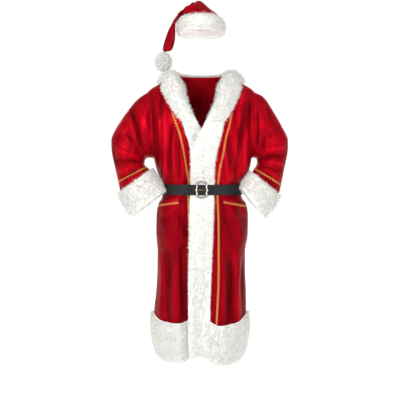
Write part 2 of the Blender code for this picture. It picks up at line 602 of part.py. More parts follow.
def build_sleeves():
    turns = np.linspace(0, 360, 2 * HALF_ROUND, endpoint=False)[None, :]
    for side, word in ((1, "left"), (-1, "right")):
        half = BRAID_WIDTH / 2 / 0.070
        at = [0, 0.6, 1.4, 2.3, 3.2, 4.0, 4.8, 5.6, 6.3, BRAID_AT - half, BRAID_AT + half, CUFF_AT]
        at = np.array(at)[:, None]
        flat = 0 * (at + turns)
        shell(
            "sleeve_" + word,
            on_sleeve(side, turns, at, flat),
            on_sleeve(side, turns, at, flat - CLOTH),
            "red_velour",
            True,
        )
        ring = at[-3:-1]
        flat = 0 * (ring + turns)
        shell(
            "braid_sleeve_" + word,
            on_sleeve(side, turns, ring, flat + SEAM + BRAID_THICK),
            on_sleeve(side, turns, ring, flat + SEAM),
            "gold_braid",
            True,
        )
        at = np.array([CUFF_AT + 0.02, 8.35, 9.2, 9.8, CUFF_END])[:, None]
        pile = np.array([0.004, 0.010, 0.012, 0.011, 0.006])[:, None] + 0 * turns
        flat = 0 * (at + turns)
        shell(
            "cuff_" + word,
            on_sleeve(side, turns, at, flat + pile),
            on_sleeve(side, turns, at, flat - FUR_INSIDE),
            "white_plush",
            True,
        )


# ---------------------------------------------------------------- belt, keeper and buckle
def belt_line(x, layer):
    """Height of the strap's inner face over the coat at x in front: layer 0 under the buckle, 1 over it."""
    if layer == 0:
        return 0.0052 + 0 * x
    rise = smoothstep((0.085 - x) / 0.036)
    ridge = np.exp(-(((np.abs(x - 0.003) - BUCKLE_R) / 0.010) ** 2)) + (np.abs(x - 0.003) < BUCKLE_R)
    return 0.0052 + rise * (0.0036 + 0.0068 * np.clip(ridge, 0, 1))


def build_belt():
    """One strap: from behind the buckle round by -X and the back, over the buckle's frame to its free end."""
    start = float(angle_at(-0.020, BELT_Z))
    end = float(angle_at(-0.112, BELT_Z))
    round_trip = np.linspace(start, -288.0, 34)
    front = np.linspace(-296.0, -360 + end, 34)
    angles = np.concatenate([round_trip, front])
    x = trunk((angles + 180) % 360 - 180, BELT_Z + 0 * angles)[:, 0]
    near = np.concatenate([belt_line(x[:34], 0), belt_line(x[34:], 1)])
    z = BELT_Z + BELT_HEIGHT * np.array([-0.5, 0.5])[None, :]
    plan = trunk((angles + 180) % 360 - 180, BELT_Z + 0 * angles)
    n = trunk_normal((angles + 180) % 360 - 180, BELT_Z + 0 * angles)
    n[:, 2] = 0
    n = n / np.linalg.norm(n, axis=1, keepdims=True)
    place = lambda h: np.concatenate(
        [(plan + n * (near + h)[:, None])[:, None, :2] + np.zeros((1, 2, 1)), (z + 0 * angles[:, None])[..., None]], -1
    )
    shell("belt", place(BELT_THICK), place(0.0), "black_belt")


def bar(name, path, wide, thick, slot, closed=False):
    """A flat bar along a path whose rows are (x, y, z), its width along the path's own in-plane normal in XZ."""
    step = np.roll(path, -1, 0) - np.roll(path, 1, 0) if closed else np.gradient(path, axis=0)
    step = step / np.linalg.norm(step, axis=1, keepdims=True)
    out = np.cross(step, [0, 1.0, 0])
    out = out / np.linalg.norm(out, axis=1, keepdims=True)
    front = np.array([0, -1.0, 0])
    ring = [(-0.5, -0.5), (0.5, -0.5), (0.5, 0.5), (-0.5, 0.5)]
    sections = np.stack([path + out * (wide * a) + front * thick * b for a, b in ring], 1)
    return sections


def ring_faces(rows, columns, closed):
    faces = []
    for r in range(rows if closed else rows - 1):
        n = (r + 1) % rows
        for c in range(columns):
            m = (c + 1) % columns
            faces.append((r * columns + c, r * columns + m, n * columns + m, n * columns + c))
    if not closed:
        faces.append(tuple(reversed(range(columns))))
        faces.append(tuple((rows - 1) * columns + c for c in range(columns)))
    return faces


def build_buckle():
    front_y = float(trunk(0.0, BELT_Z)[1])
    ring_y = front_y - 0.0052 - BELT_THICK - 0.0008 - BUCKLE_WIRE * 0.78
    middle = np.array([0.003, ring_y, BELT_Z])
    bpy.ops.mesh.primitive_torus_add(
        major_segments=32, minor_segments=6, major_radius=BUCKLE_R, minor_radius=BUCKLE_WIRE
    )
    frame = bpy.context.object
    frame.name = "buckle"
    frame.data.name = "buckle"
    for other in list(frame.users_collection):
        other.objects.unlink(frame)
    SUIT.objects.link(frame)
    corners = np.empty(len(frame.data.vertices) * 3)
    frame.data.vertices.foreach_get("co", corners)
    corners = corners.reshape(-1, 3)
    placed = np.stack([corners[:, 0], -corners[:, 2] * 0.78, corners[:, 1]], 1) + middle
    frame.data.vertices.foreach_set("co", placed.ravel())
    frame.location = (0, 0, 0)
    frame.data.update()
    frame.data.polygons.foreach_set("use_smooth", [True] * len(frame.data.polygons))
    frame.data.materials.clear()
    frame.data.materials.append(material("buckle_metal"))
    cutters = bpy.data.collections.new("joined")
    bpy.context.scene.collection.children.link(cutters)
    cutters.hide_render = True
    strap_face = front_y - belt_line(np.array([0.003]), 1)[0] - BELT_THICK
    for side in (-1, 1):
        t = np.linspace(-1, 1, 11)
        x = middle[0] + side * (0.0130 + 0.0115 * t**4 - 0.0)
        z = BELT_Z + t * (BUCKLE_R - 0.0062)
        arch = smoothstep((1 - np.abs(t)) / 0.22)
        y = ring_y + (strap_face - 0.0029 - ring_y) * arch
        sections = bar("bar", np.stack([x, y, z], 1), 0.0052, 0.0032, "buckle_metal")
        one = add_mesh(
            "buckle_bar_left" if side > 0 else "buckle_bar_right",
            sections.reshape(-1, 3),
            ring_faces(11, 4, False),
            "buckle_metal",
        )
        SUIT.objects.unlink(one)
        cutters.objects.link(one)
        one.hide_render = True
        one.display_type = "WIRE"
        join = frame.modifiers.new("bar", "BOOLEAN")
        join.operation, join.solver, join.object = "UNION", "EXACT", one


def build_keeper():
    """A loop of strap round both layers of the belt, beside the buckle."""
    x0, wide = -0.066, 0.014
    y = lambda h: float(trunk(float(angle_at(x0, BELT_Z)), BELT_Z)[1]) - h
    back, face = 0.0012, 0.0152
    tall = BELT_HEIGHT / 2 + 0.0008
    near = [(tall, face), (-tall, face), (-tall, back + 0.0011), (tall, back + 0.0011)]
    far = [(tall + 0.0016, face + 0.0016), (-tall - 0.0016, face + 0.0016), (-tall - 0.0016, back), (tall + 0.0016, back)]
    grid = lambda corners: np.array(
        [[(x, y(h), BELT_Z + dz) for dz, h in corners] for x in (x0 - wide / 2, x0 + wide / 2)]
    )
    shell("belt_keeper", grid(far), grid(near), "black_belt", True)


# ---------------------------------------------------------------- hat
def hat(turn, at):
    keys = np.arange(len(HAT))
    turn, at = np.broadcast_arrays(np.asarray(turn, float), np.asarray(at, float))
    lx, lz, rx, rz, depth, y0 = (
        smooth_curve(keys, np.array([row[k] for row in HAT]), at) for k in range(1, 7)
    )
    c, s = np.cos(np.radians(turn)), np.sin(np.radians(turn))
    return np.stack(
        [(rx + lx) / 2 + (rx - lx) / 2 * c, y0 - depth * s, (rz + lz) / 2 + (rz - lz) / 2 * c], -1
    )


def on_hat(turn, at, height):
    turn, at = np.broadcast_arrays(np.asarray(turn, float), np.asarray(at, float))
    n = normals_of(lambda a, b: hat(a, np.clip(b, 0, len(HAT) - 1)), turn, at, 1.0, 0.02)
    here = hat(turn, at)
    middle = (hat(0 * turn, at) + hat(0 * turn + 180, at)) / 2
    n = n * np.sign((n * (here - middle)).sum(-1, keepdims=True))
    return here + n * np.asarray(height)[..., None]


def build_hat():
    turns = np.linspace(0, 360, 16, endpoint=False)[None, :]
    at = np.array([0.0, 1.0, 2.0, 2.6, 3.0, 3.4, 4.2, 5.0, 6.0, 7.0, 8.0, 9.0, 10.0])[:, None]
    flat = 0 * (at + turns)
    outer = on_hat(turns, at, flat)
    inner = on_hat(turns, at, flat - CLOTH)
    shell("hat_crown", outer, inner, "red_velour", True)
    angles = np.linspace(0, 360, 24, endpoint=False)
    low, top = column(HAT_BAND, 1, angles), column(HAT_BAND, 2, angles)
    a = np.radians(angles)
    share = np.array([0.0, 0.25, 0.75, 1.0])[:, None]
    swell = np.array([0.0035, 0.0, 0.0, 0.0045])[:, None]
    z = low + (top - low) * share
    ring = lambda inset: np.stack(
        [(HAT_BAND_RX - inset) * np.sin(a) + 0 * z, -(HAT_BAND_RY - inset) * np.cos(a) + 0 * z, z], -1
    )
    shell("hat_band", ring(swell), ring(HAT_BAND_THICK + 0 * swell), "white_plush", True)
    bpy.ops.mesh.primitive_uv_sphere_add(segments=16, ring_count=9, radius=1.0)
    ball = bpy.context.object
    ball.name = "hat_pompom"
    ball.data.name = "hat_pompom"
    for other in list(ball.users_collection):
        other.objects.unlink(ball)
    SUIT.objects.link(ball)
    corners = np.empty(len(ball.data.vertices) * 3)
    ball.data.vertices.foreach_get("co", corners)
    placed = corners.reshape(-1, 3) * [POMPOM_R, POMPOM_R, POMPOM_TALL] + [-0.182, 0.0, 0.1245]
    ball.data.vertices.foreach_set("co", placed.ravel())
    ball.location = (0, 0, 0)
    ball.data.update()
    ball.data.polygons.foreach_set("use_smooth", [True] * len(ball.data.polygons))
    ball.data.materials.append(material("white_plush"))


SUIT = clear_scene()
build_trunk()
build_bands()
build_hem()
build_collar()
build_pockets()
build_sleeves()
build_belt()
build_buckle()
build_keeper()
build_hat()
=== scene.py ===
# %% [markdown]
# # A santa suit worn by nobody
# A long belted coat of red velour with white plush trim and gold zigzag braid, its belt, and its hat.
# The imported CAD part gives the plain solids; this lesson puts the cloth, the pile, the braid and the metal on
# them. Every surface is worked out from small tables of named sizes, as whole numpy arrays.

import json
import math

import bpy
import numpy as np
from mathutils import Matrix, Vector

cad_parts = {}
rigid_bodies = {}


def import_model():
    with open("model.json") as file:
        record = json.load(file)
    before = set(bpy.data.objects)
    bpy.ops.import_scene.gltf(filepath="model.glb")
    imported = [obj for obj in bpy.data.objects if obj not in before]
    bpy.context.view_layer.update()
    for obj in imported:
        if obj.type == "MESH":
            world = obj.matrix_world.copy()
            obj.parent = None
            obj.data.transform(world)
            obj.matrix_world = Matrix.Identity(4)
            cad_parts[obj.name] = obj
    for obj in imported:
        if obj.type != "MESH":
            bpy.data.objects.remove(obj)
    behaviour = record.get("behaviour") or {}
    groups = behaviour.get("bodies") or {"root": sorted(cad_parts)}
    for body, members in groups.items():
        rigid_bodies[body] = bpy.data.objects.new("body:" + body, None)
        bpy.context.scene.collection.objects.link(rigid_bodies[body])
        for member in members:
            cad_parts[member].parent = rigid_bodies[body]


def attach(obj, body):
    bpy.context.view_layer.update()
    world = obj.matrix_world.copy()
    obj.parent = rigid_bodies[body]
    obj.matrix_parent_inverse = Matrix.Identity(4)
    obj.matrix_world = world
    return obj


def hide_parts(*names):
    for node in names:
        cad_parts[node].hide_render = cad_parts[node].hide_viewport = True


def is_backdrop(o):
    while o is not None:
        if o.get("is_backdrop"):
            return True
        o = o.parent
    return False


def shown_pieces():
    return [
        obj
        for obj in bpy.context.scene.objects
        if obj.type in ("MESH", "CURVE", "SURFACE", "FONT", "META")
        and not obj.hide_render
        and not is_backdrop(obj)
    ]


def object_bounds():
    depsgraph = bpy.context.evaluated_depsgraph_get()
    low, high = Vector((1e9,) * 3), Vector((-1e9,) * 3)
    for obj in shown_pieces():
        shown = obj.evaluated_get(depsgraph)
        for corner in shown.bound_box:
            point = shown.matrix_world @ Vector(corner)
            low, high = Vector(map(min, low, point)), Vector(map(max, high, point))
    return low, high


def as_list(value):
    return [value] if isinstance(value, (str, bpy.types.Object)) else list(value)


for old in list(bpy.data.objects):
    bpy.data.objects.remove(old, do_unlink=True)
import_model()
cad_low, cad_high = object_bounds()
print("CAD box", [round(v, 3) for v in cad_low], [round(v, 3) for v in cad_high])

# %% [markdown]
# ## Sizes
# The coat's cross-sections, the lines its trim follows and the sleeves' sections. Each row is one section or
# one place along a line, and each column has a name. Lengths are metres, angles degrees from the front.

# %% Tables of the coat
# cloth wall and the gap at a seam
CLOTH, SEAM = 0.0016, 0.0004
BELT_Z, BELT_HEIGHT, BELT_THICK = -0.491, 0.050, 0.0028
BUCKLE_X, BUCKLE_R = 0.003, 0.0385
# the strap's inner face lies this far outside the coat, to clear the pressed plush
BELT_CLEAR = 0.0052
# the armhole runs from the armpit to the shoulder's tip, this many degrees off the side seam at its middle
ARMPIT_Z, TIP_Z, ARMHOLE_BACKSET = -0.340, -0.022, 17.0
# how far the right front passes behind the left one
UNDER = 0.019
HEM_BOTTOM, HEM_TOP, PANEL_BOTTOM, NECK_Z = -1.276, -1.0865, -1.0855, 0.055
# the plush bands meet the collar at this height and reach a little above it
COLLAR_SEAM, BAND_TOP = -0.168, -0.1655

# z, half_width, shift, front_depth, back_depth, squareness
TRUNK = (
    (-1.276, 0.204, -0.005, 0.158, 0.150, 2.3),
    (-1.210, 0.217, -0.005, 0.160, 0.155, 2.3),
    (-1.140, 0.224, -0.005, 0.160, 0.156, 2.3),
    (-1.085, 0.2245, -0.0045, 0.158, 0.155, 2.3),
    (-0.990, 0.219, 0.000, 0.154, 0.152, 2.3),
    (-0.850, 0.2125, 0.001, 0.150, 0.148, 2.3),
    (-0.775, 0.213, 0.002, 0.150, 0.148, 2.4),
    (-0.700, 0.2210, 0.004, 0.152, 0.150, 2.4),
    (-0.620, 0.2215, 0.006, 0.152, 0.148, 2.4),
    (-0.560, 0.209, 0.006, 0.146, 0.136, 2.4),
    (-0.523, 0.191, 0.004, 0.137, 0.122, 2.5),
    (-0.491, 0.189, 0.003, 0.135, 0.118, 2.5),
    (-0.459, 0.191, 0.003, 0.137, 0.120, 2.5),
    (-0.430, 0.208, 0.006, 0.146, 0.130, 2.5),
    (-0.400, 0.222, 0.009, 0.152, 0.136, 2.5),
    (-0.340, 0.236, 0.008, 0.153, 0.140, 2.6),
    (-0.250, 0.246, 0.004, 0.148, 0.140, 2.7),
    (-0.120, 0.257, 0.000, 0.124, 0.132, 2.7),
    (-0.060, 0.260, 0.000, 0.100, 0.112, 2.6),
    (-0.022, 0.259, 0.000, 0.082, 0.095, 2.5),
    (0.012, 0.212, 0.000, 0.068, 0.082, 2.4),
    (0.035, 0.155, 0.000, 0.060, 0.074, 2.2),
    (0.055, 0.105, 0.000, 0.054, 0.068, 2.1),
)
# z, left_braid, right_braid: x of the zigzag braid down each front
FRONT_BRAIDS = (
    (-1.140, 0.070, -0.047),
    (-1.045, 0.075, -0.047),
    (-0.910, 0.082, -0.048),
    (-0.786, 0.083, -0.050),
    (-0.640, 0.082, -0.056),
    (-0.520, 0.078, -0.061),
    (-0.460, 0.081, -0.058),
    (-0.400, 0.087, -0.067),
    (-0.328, 0.103, -0.079),
    (-0.274, 0.112, -0.088),
    (-0.228, 0.122, -0.100),
    (-0.190, 0.133, -0.113),
    (-0.150, 0.141, -0.128),
    (-0.100, 0.150, -0.148),
)
# z, left_in, left_out, right_in, right_out: x of the plush bands' edges
BANDS = (
    (-1.276, -0.056, 0.036, 0.034, -0.035),
    (-1.085, -0.060, 0.043, 0.036, -0.035),
    (-0.946, -0.060, 0.046, 0.038, -0.035),
    (-0.786, -0.056, 0.052, 0.040, -0.035),
    (-0.640, -0.054, 0.057, 0.040, -0.037),
    (-0.490, -0.050, 0.063, 0.040, -0.040),
    (-0.378, -0.047, 0.064, 0.040, -0.043),
    (-0.315, -0.047, 0.074, 0.040, -0.049),
    (-0.249, -0.018, 0.092, 0.018, -0.064),
    (-0.218, -0.004, 0.099, 0.005, -0.074),
    (-0.168, 0.023, 0.110, -0.023, -0.090),
)
# angle, inner_x, inner_z, outer_x, outer_z, lift, rise: each half of the collar, corner to shoulder
COLLAR_LEFT = (
    (0.0, 0.024, -0.166, 0.112, -0.166, 0.004, 0.000),
    (12.0, 0.050, -0.112, 0.141, -0.116, 0.012, 0.000),
    (28.0, 0.074, -0.050, 0.166, -0.062, 0.020, 0.004),
    (50.0, 0.088, 0.008, 0.184, -0.012, 0.022, 0.006),
)
COLLAR_RIGHT = (
    (0.0, 0.024, -0.166, 0.092, -0.166, 0.004, 0.000),
    (12.0, 0.050, -0.112, 0.130, -0.114, 0.012, 0.000),
    (28.0, 0.074, -0.050, 0.160, -0.060, 0.020, 0.004),
    (50.0, 0.088, 0.008, 0.183, -0.010, 0.022, 0.006),
)
# angle, inner_z, outer_z, lift, rise: the collar over the shoulder and round the back
COLLAR_ROUND = (
    (78.0, 0.052, 0.017, 0.020, 0.008),
    (100.0, 0.052, 0.015, 0.018, 0.008),
    (125.0, 0.052, -0.022, 0.018, 0.012),
    (152.0, 0.052, -0.050, 0.018, 0.016),
    (180.0, 0.052, -0.060, 0.018, 0.018),
)
# angle from the front, left_drop, right_drop: how much lower than the sides the skirt hangs
HEM_DROP = (
    (0.0, 0.010, 0.010),
    (12.0, 0.022, 0.016),
    (32.0, 0.050, 0.038),
    (55.0, 0.040, 0.034),
    (90.0, 0.000, 0.000),
    (135.0, 0.012, 0.012),
    (180.0, 0.018, 0.018),
)
POCKET_FROM, POCKET_TO, POCKET_BOTTOM, POCKET_TOP = 0.108, 80.0, -0.772, -0.524
POCKET_SLANT, POCKET_BRAID_DOWN, POCKET_DEPTH = 0.22, 0.026, 0.245

# %% [markdown]
# ## Sizes of the sleeves and the hat
# Each row is one section: where it starts on the outer or left line, where it ends on the inner or right one,
# half its depth, and how far back its middle lies.

# %% Tables of the sleeves and the hat
# name, outer_x, outer_z, inner_x, inner_z, half_depth, y
SLEEVE_LEFT = (
    ("armhole", 0.259, -0.022, 0.240, -0.340, 0.078, 0.002),
    ("upper", 0.305, -0.048, 0.247, -0.339, 0.082, 0.004),
    ("upper", 0.348, -0.110, 0.255, -0.338, 0.086, 0.008),
    ("upper", 0.392, -0.185, 0.263, -0.339, 0.086, 0.014),
    ("elbow", 0.422, -0.254, 0.271, -0.346, 0.084, 0.016),
    ("elbow", 0.4195, -0.315, 0.272, -0.360, 0.080, 0.010),
    ("fore", 0.402, -0.393, 0.266, -0.378, 0.075, -0.008),
    ("braid", 0.385, -0.470, 0.257, -0.392, 0.070, -0.032),
    ("cuff_seam", 0.371, -0.5145, 0.244, -0.408, 0.066, -0.050),
    ("cuff", 0.337, -0.567, 0.221, -0.444, 0.062, -0.078),
    ("cuff_end", 0.298, -0.615, 0.196, -0.486, 0.058, -0.105),
)
SLEEVE_RIGHT = (
    ("armhole", 0.259, -0.022, 0.226, -0.340, 0.078, 0.002),
    ("upper", 0.312, -0.060, 0.234, -0.339, 0.082, 0.004),
    ("upper", 0.356, -0.112, 0.244, -0.338, 0.086, 0.008),
    ("upper", 0.405, -0.182, 0.256, -0.338, 0.086, 0.014),
    ("elbow", 0.4355, -0.254, 0.268, -0.343, 0.084, 0.016),
    ("elbow", 0.432, -0.315, 0.274, -0.356, 0.080, 0.010),
    ("fore", 0.414, -0.393, 0.273, -0.372, 0.077, -0.008),
    ("braid", 0.398, -0.455, 0.262, -0.384, 0.073, -0.032),
    ("cuff_seam", 0.386, -0.502, 0.243, -0.398, 0.070, -0.050),
    ("cuff", 0.360, -0.556, 0.213, -0.445, 0.066, -0.078),
    ("cuff_end", 0.322, -0.608, 0.180, -0.500, 0.060, -0.108),
)
BRAID_AT, CUFF_AT, CUFF_END = 7.0, 8.0, 10.0
# name, left_x, left_z, right_x, right_z, half_depth, y: the crown from head to tip
HAT = (
    ("rim", -0.094, 0.285, 0.094, 0.290, 0.1005, 0.000),
    ("band_top", -0.090, 0.335, 0.091, 0.340, 0.099, 0.000),
    ("rise", -0.089, 0.350, 0.048, 0.379, 0.093, 0.002),
    ("apex", -0.101, 0.353, -0.005, 0.4165, 0.080, 0.006),
    ("fold", -0.112, 0.348, -0.046, 0.391, 0.069, 0.010),
    ("fold", -0.121, 0.335, -0.090, 0.361, 0.058, 0.013),
    ("tail", -0.126, 0.310, -0.126, 0.331, 0.048, 0.014),
    ("tail", -0.1245, 0.282, -0.154, 0.287, 0.041, 0.012),
    ("tail", -0.127, 0.228, -0.175, 0.229, 0.034, 0.008),
    ("tip", -0.139, 0.182, -0.186, 0.183, 0.026, 0.002),
    ("tip", -0.166, 0.1715, -0.180, 0.1715, 0.010, 0.000),
)
HAT_BAND_RX, HAT_BAND_RY = 0.1115, 0.118
# angle from the front, bottom_z, top_z
HAT_BAND = (
    (0.0, 0.262, 0.352),
    (45.0, 0.262, 0.344),
    (90.0, 0.256, 0.322),
    (135.0, 0.250, 0.322),
    (180.0, 0.248, 0.326),
    (225.0, 0.250, 0.322),
    (270.0, 0.256, 0.322),
    (315.0, 0.262, 0.344),
    (360.0, 0.262, 0.352),
)
POMPOM = (-0.182, 0.0, 0.1245)

# %% [markdown]
# ## Folds
# Each row is one ridge (height above 0) or trough (below 0) as a line in the front view, with its width.
# The deepest radiate from the shoulders to the belt; the elbows have a fan of creases; the skirt hangs in
# long soft pleats, and the back has its own of the same kind.

# %% Tables of folds
# side, x0, z0, x1, z1, width, height
TRUNK_FOLDS = (
    # wearer's right chest
    ("F", -0.228, -0.090, -0.204, -0.440, 0.011, -0.009),
    ("F", -0.172, -0.110, -0.168, -0.440, 0.013, 0.010),
    ("F", -0.190, -0.010, -0.196, -0.150, 0.010, -0.008),
    ("F", -0.214, -0.030, -0.190, -0.280, 0.010, 0.006),
    ("F", -0.146, -0.180, -0.150, -0.420, 0.009, -0.009),
    ("F", -0.126, -0.190, -0.128, -0.440, 0.010, 0.008),
    ("F", -0.108, -0.270, -0.106, -0.445, 0.008, -0.006),
    ("F", -0.092, -0.250, -0.086, -0.445, 0.009, 0.005),
    ("F", -0.184, -0.320, -0.186, -0.455, 0.007, -0.006),
    ("F", -0.157, -0.345, -0.160, -0.458, 0.006, -0.005),
    # wearer's left chest
    ("F", 0.206, -0.010, 0.166, -0.200, 0.012, 0.010),
    ("F", 0.232, -0.060, 0.236, -0.220, 0.009, -0.010),
    ("F", 0.202, -0.150, 0.160, -0.430, 0.011, -0.010),
    ("F", 0.220, -0.190, 0.198, -0.440, 0.012, 0.010),
    ("F", 0.158, -0.200, 0.180, -0.380, 0.010, 0.007),
    ("F", 0.134, -0.230, 0.146, -0.400, 0.010, -0.008),
    ("F", 0.116, -0.300, 0.132, -0.450, 0.009, 0.007),
    ("F", 0.102, -0.340, 0.115, -0.450, 0.006, -0.005),
    ("F", 0.180, -0.370, 0.172, -0.456, 0.007, 0.005),
    ("F", 0.150, -0.380, 0.150, -0.456, 0.006, 0.004),
    # hips and skirt
    ("F", 0.128, -0.560, 0.208, -0.740, 0.017, 0.011),
    ("F", 0.116, -0.600, 0.164, -0.740, 0.013, -0.008),
    ("F", 0.176, -0.560, 0.216, -0.640, 0.012, -0.006),
    ("F", -0.112, -0.575, -0.190, -0.605, 0.012, 0.006),
    ("F", -0.100, -0.610, -0.060, -0.720, 0.020, -0.007),
    ("F", -0.180, -0.630, -0.140, -0.760, 0.020, 0.006),
    ("F", -0.096, -0.740, -0.090, -1.100, 0.014, -0.010),
    ("F", -0.122, -0.820, -0.128, -1.120, 0.013, 0.008),
    ("F", -0.152, -0.760, -0.160, -1.120, 0.015, -0.007),
    ("F", -0.186, -0.800, -0.186, -1.100, 0.014, 0.008),
    ("F", 0.108, -0.760, 0.104, -1.120, 0.012, 0.006),
    ("F", 0.134, -0.800, 0.142, -1.120, 0.014, -0.011),
    ("F", 0.170, -0.760, 0.174, -1.110, 0.014, 0.010),
    ("F", 0.200, -0.800, 0.200, -1.100, 0.010, -0.007),
    # the back
    ("B", -0.215, -0.100, -0.150, -0.440, 0.014, 0.009),
    ("B", -0.190, -0.060, -0.110, -0.440, 0.012, -0.009),
    ("B", -0.150, -0.090, -0.060, -0.445, 0.014, 0.010),
    ("B", -0.070, -0.220, -0.030, -0.450, 0.011, -0.008),
    ("B", 0.140, -0.110, 0.080, -0.450, 0.014, 0.011),
    ("B", 0.180, -0.080, 0.120, -0.440, 0.012, -0.009),
    ("B", 0.212, -0.110, 0.166, -0.445, 0.013, 0.009),
    ("B", 0.010, -0.160, 0.002, -0.450, 0.012, -0.008),
    ("B", 0.040, -0.230, 0.034, -0.452, 0.010, 0.007),
    ("B", 0.188, -0.540, 0.196, -1.100, 0.015, -0.010),
    ("B", 0.150, -0.530, 0.160, -1.110, 0.015, 0.013),
    ("B", 0.105, -0.540, 0.116, -1.110, 0.015, -0.013),
    ("B", 0.062, -0.530, 0.070, -1.110, 0.014, 0.012),
    ("B", 0.026, -0.560, 0.022, -1.110, 0.013, -0.011),
    ("B", -0.012, -0.530, -0.018, -1.110, 0.015, 0.013),
    ("B", -0.056, -0.550, -0.062, -1.110, 0.014, -0.012),
    ("B", -0.096, -0.530, -0.106, -1.110, 0.015, 0.013),
    ("B", -0.138, -0.540, -0.150, -1.110, 0.015, -0.013),
    ("B", -0.176, -0.530, -0.190, -1.100, 0.015, 0.011),
)
SLEEVE_FOLDS_LEFT = (
    ("F", 0.292, -0.080, 0.283, -0.215, 0.012, 0.008),
    ("F", 0.272, -0.100, 0.268, -0.290, 0.009, -0.008),
    ("F", 0.340, -0.200, 0.284, -0.300, 0.012, -0.010),
    ("F", 0.352, -0.165, 0.298, -0.290, 0.012, 0.009),
    ("F", 0.378, -0.150, 0.410, -0.250, 0.014, 0.007),
    ("F", 0.290, -0.322, 0.405, -0.275, 0.011, 0.009),
    ("F", 0.290, -0.342, 0.400, -0.320, 0.009, -0.009),
    ("F", 0.290, -0.358, 0.400, -0.362, 0.010, 0.008),
    ("F", 0.285, -0.374, 0.370, -0.402, 0.009, -0.006),
    ("F", 0.300, -0.385, 0.390, -0.440, 0.012, 0.006),
    ("F", 0.318, -0.100, 0.330, -0.160, 0.010, -0.005),
    ("B", 0.300, -0.330, 0.400, -0.220, 0.014, 0.010),
    ("B", 0.290, -0.310, 0.350, -0.170, 0.012, -0.009),
    ("B", 0.290, -0.350, 0.400, -0.300, 0.011, -0.008),
    ("B", 0.290, -0.370, 0.400, -0.380, 0.013, 0.008),
    ("B", 0.280, -0.110, 0.285, -0.260, 0.012, 0.008),
)
SLEEVE_FOLDS_RIGHT = (
    ("F", 0.334, -0.100, 0.278, -0.310, 0.011, -0.012),
    ("F", 0.356, -0.215, 0.286, -0.330, 0.008, -0.009),
    ("F", 0.352, -0.130, 0.296, -0.300, 0.012, 0.009),
    ("F", 0.266, -0.090, 0.264, -0.220, 0.012, 0.009),
    ("F", 0.300, -0.070, 0.282, -0.200, 0.011, 0.006),
    ("F", 0.388, -0.150, 0.372, -0.230, 0.018, 0.008),
    ("F", 0.290, -0.344, 0.410, -0.290, 0.011, 0.009),
    ("F", 0.285, -0.356, 0.410, -0.345, 0.009, -0.009),
    ("F", 0.290, -0.372, 0.400, -0.400, 0.011, 0.008),
    ("F", 0.424, -0.290, 0.396, -0.390, 0.010, -0.008),
    ("F", 0.300, -0.392, 0.380, -0.440, 0.010, -0.006),
    ("B", 0.300, -0.330, 0.410, -0.230, 0.014, 0.010),
    ("B", 0.290, -0.310, 0.350, -0.150, 0.012, -0.009),
    ("B", 0.290, -0.350, 0.410, -0.310, 0.011, -0.008),
    ("B", 0.295, -0.368, 0.400, -0.385, 0.013, 0.008),
    ("B", 0.280, -0.110, 0.280, -0.260, 0.012, 0.008),
)
# the height at which a fold is shaded most
DEEP_FOLD = 0.011
sleeve_folds = len(SLEEVE_FOLDS_LEFT) + len(SLEEVE_FOLDS_RIGHT)
print(len(TRUNK_FOLDS), "folds on the coat,", sleeve_folds, "on the sleeves")

# %% [markdown]
# ## Curves through a table
# A cubic runs through each column's values. Its slope at a row is the mean of the slopes on either side, and
# level where the column turns, so it never swings past the sizes in the table.


# %% Curve helpers
def smooth_curve(xs, ys, at):
    """The value at `at` of the cubic through (xs, ys) with mean slopes at its points."""
    order = np.argsort(xs)
    xs, ys = np.asarray(xs, float)[order], np.asarray(ys, float)[order]
    at = np.clip(np.asarray(at, float), xs[0], xs[-1])
    steps = np.diff(ys) / np.diff(xs)
    slopes = np.concatenate([[steps[0]], (steps[:-1] + steps[1:]) / 2, [steps[-1]]])
    slopes[np.concatenate([[False], steps[:-1] * steps[1:] <= 0, [False]])] = 0.0
    i = np.clip(np.searchsorted(xs, at, side="right") - 1, 0, len(xs) - 2)
    width = xs[i + 1] - xs[i]
    t = (at - xs[i]) / width
    return (
        ys[i] * (1 + 2 * t) * (1 - t) ** 2
        + slopes[i] * width * t * (1 - t) ** 2
        + ys[i + 1] * t * t * (3 - 2 * t)
        + slopes[i + 1] * width * t * t * (t - 1)
    )


def column(table, index, at):
    """The smooth curve through one column of a table whose first column is the place."""
    return smooth_curve([row[0] for row in table], [row[index] for row in table], at)


def smoothstep(t):
    """3t^2 - 2t^3 between 0 and 1, level outside them."""
    t = np.clip(t, 0.0, 1.0)
    return t * t * (3 - 2 * t)


def unit(v):
    """Each arrow divided by its length."""
    return v / np.maximum(np.linalg.norm(v, axis=-1, keepdims=True), 1e-12)


def fold_height(table, x, z, front):
    """Height times a bell across each fold's line, faded at its two ends, summed over the table's rows."""
    total = np.zeros(np.broadcast(x, z).shape)
    for side, x0, z0, x1, z1, width, height in table:
        length = math.hypot(x1 - x0, z1 - z0)
        along = ((x - x0) * (x1 - x0) + (z - z0) * (z1 - z0)) / length**2
        across = ((x - x0) * (z1 - z0) - (z - z0) * (x1 - x0)) / length
        # a real crease wanders a little and widens away from its tight end
        across = across + 0.25 * width * np.sin(7.0 * along + 40 * x0)
        wide = width * (0.85 + 0.35 * np.clip(along, 0, 1))
        ends = smoothstep((along + 0.12) / 0.35) * smoothstep((1.12 - along) / 0.35)
        bell = np.exp(-(np.abs(across / wide) ** 1.6))
        total = total + height * bell * ends * (front if side == "F" else 1 - front)
    return total


print("half width at the belt", round(float(column(TRUNK, 1, BELT_Z)), 3))

# %% [markdown]
# ## The trunk of the coat
# One surface gives the back, both fronts, the bands and the hem. At each height it is a rounded rectangle
# (|x/w|^n + |y/d|^n = 1, met at the given angle), moved out by the folds, lowered at the hem's two front
# lobes, and taken back where the right front passes behind the left band.


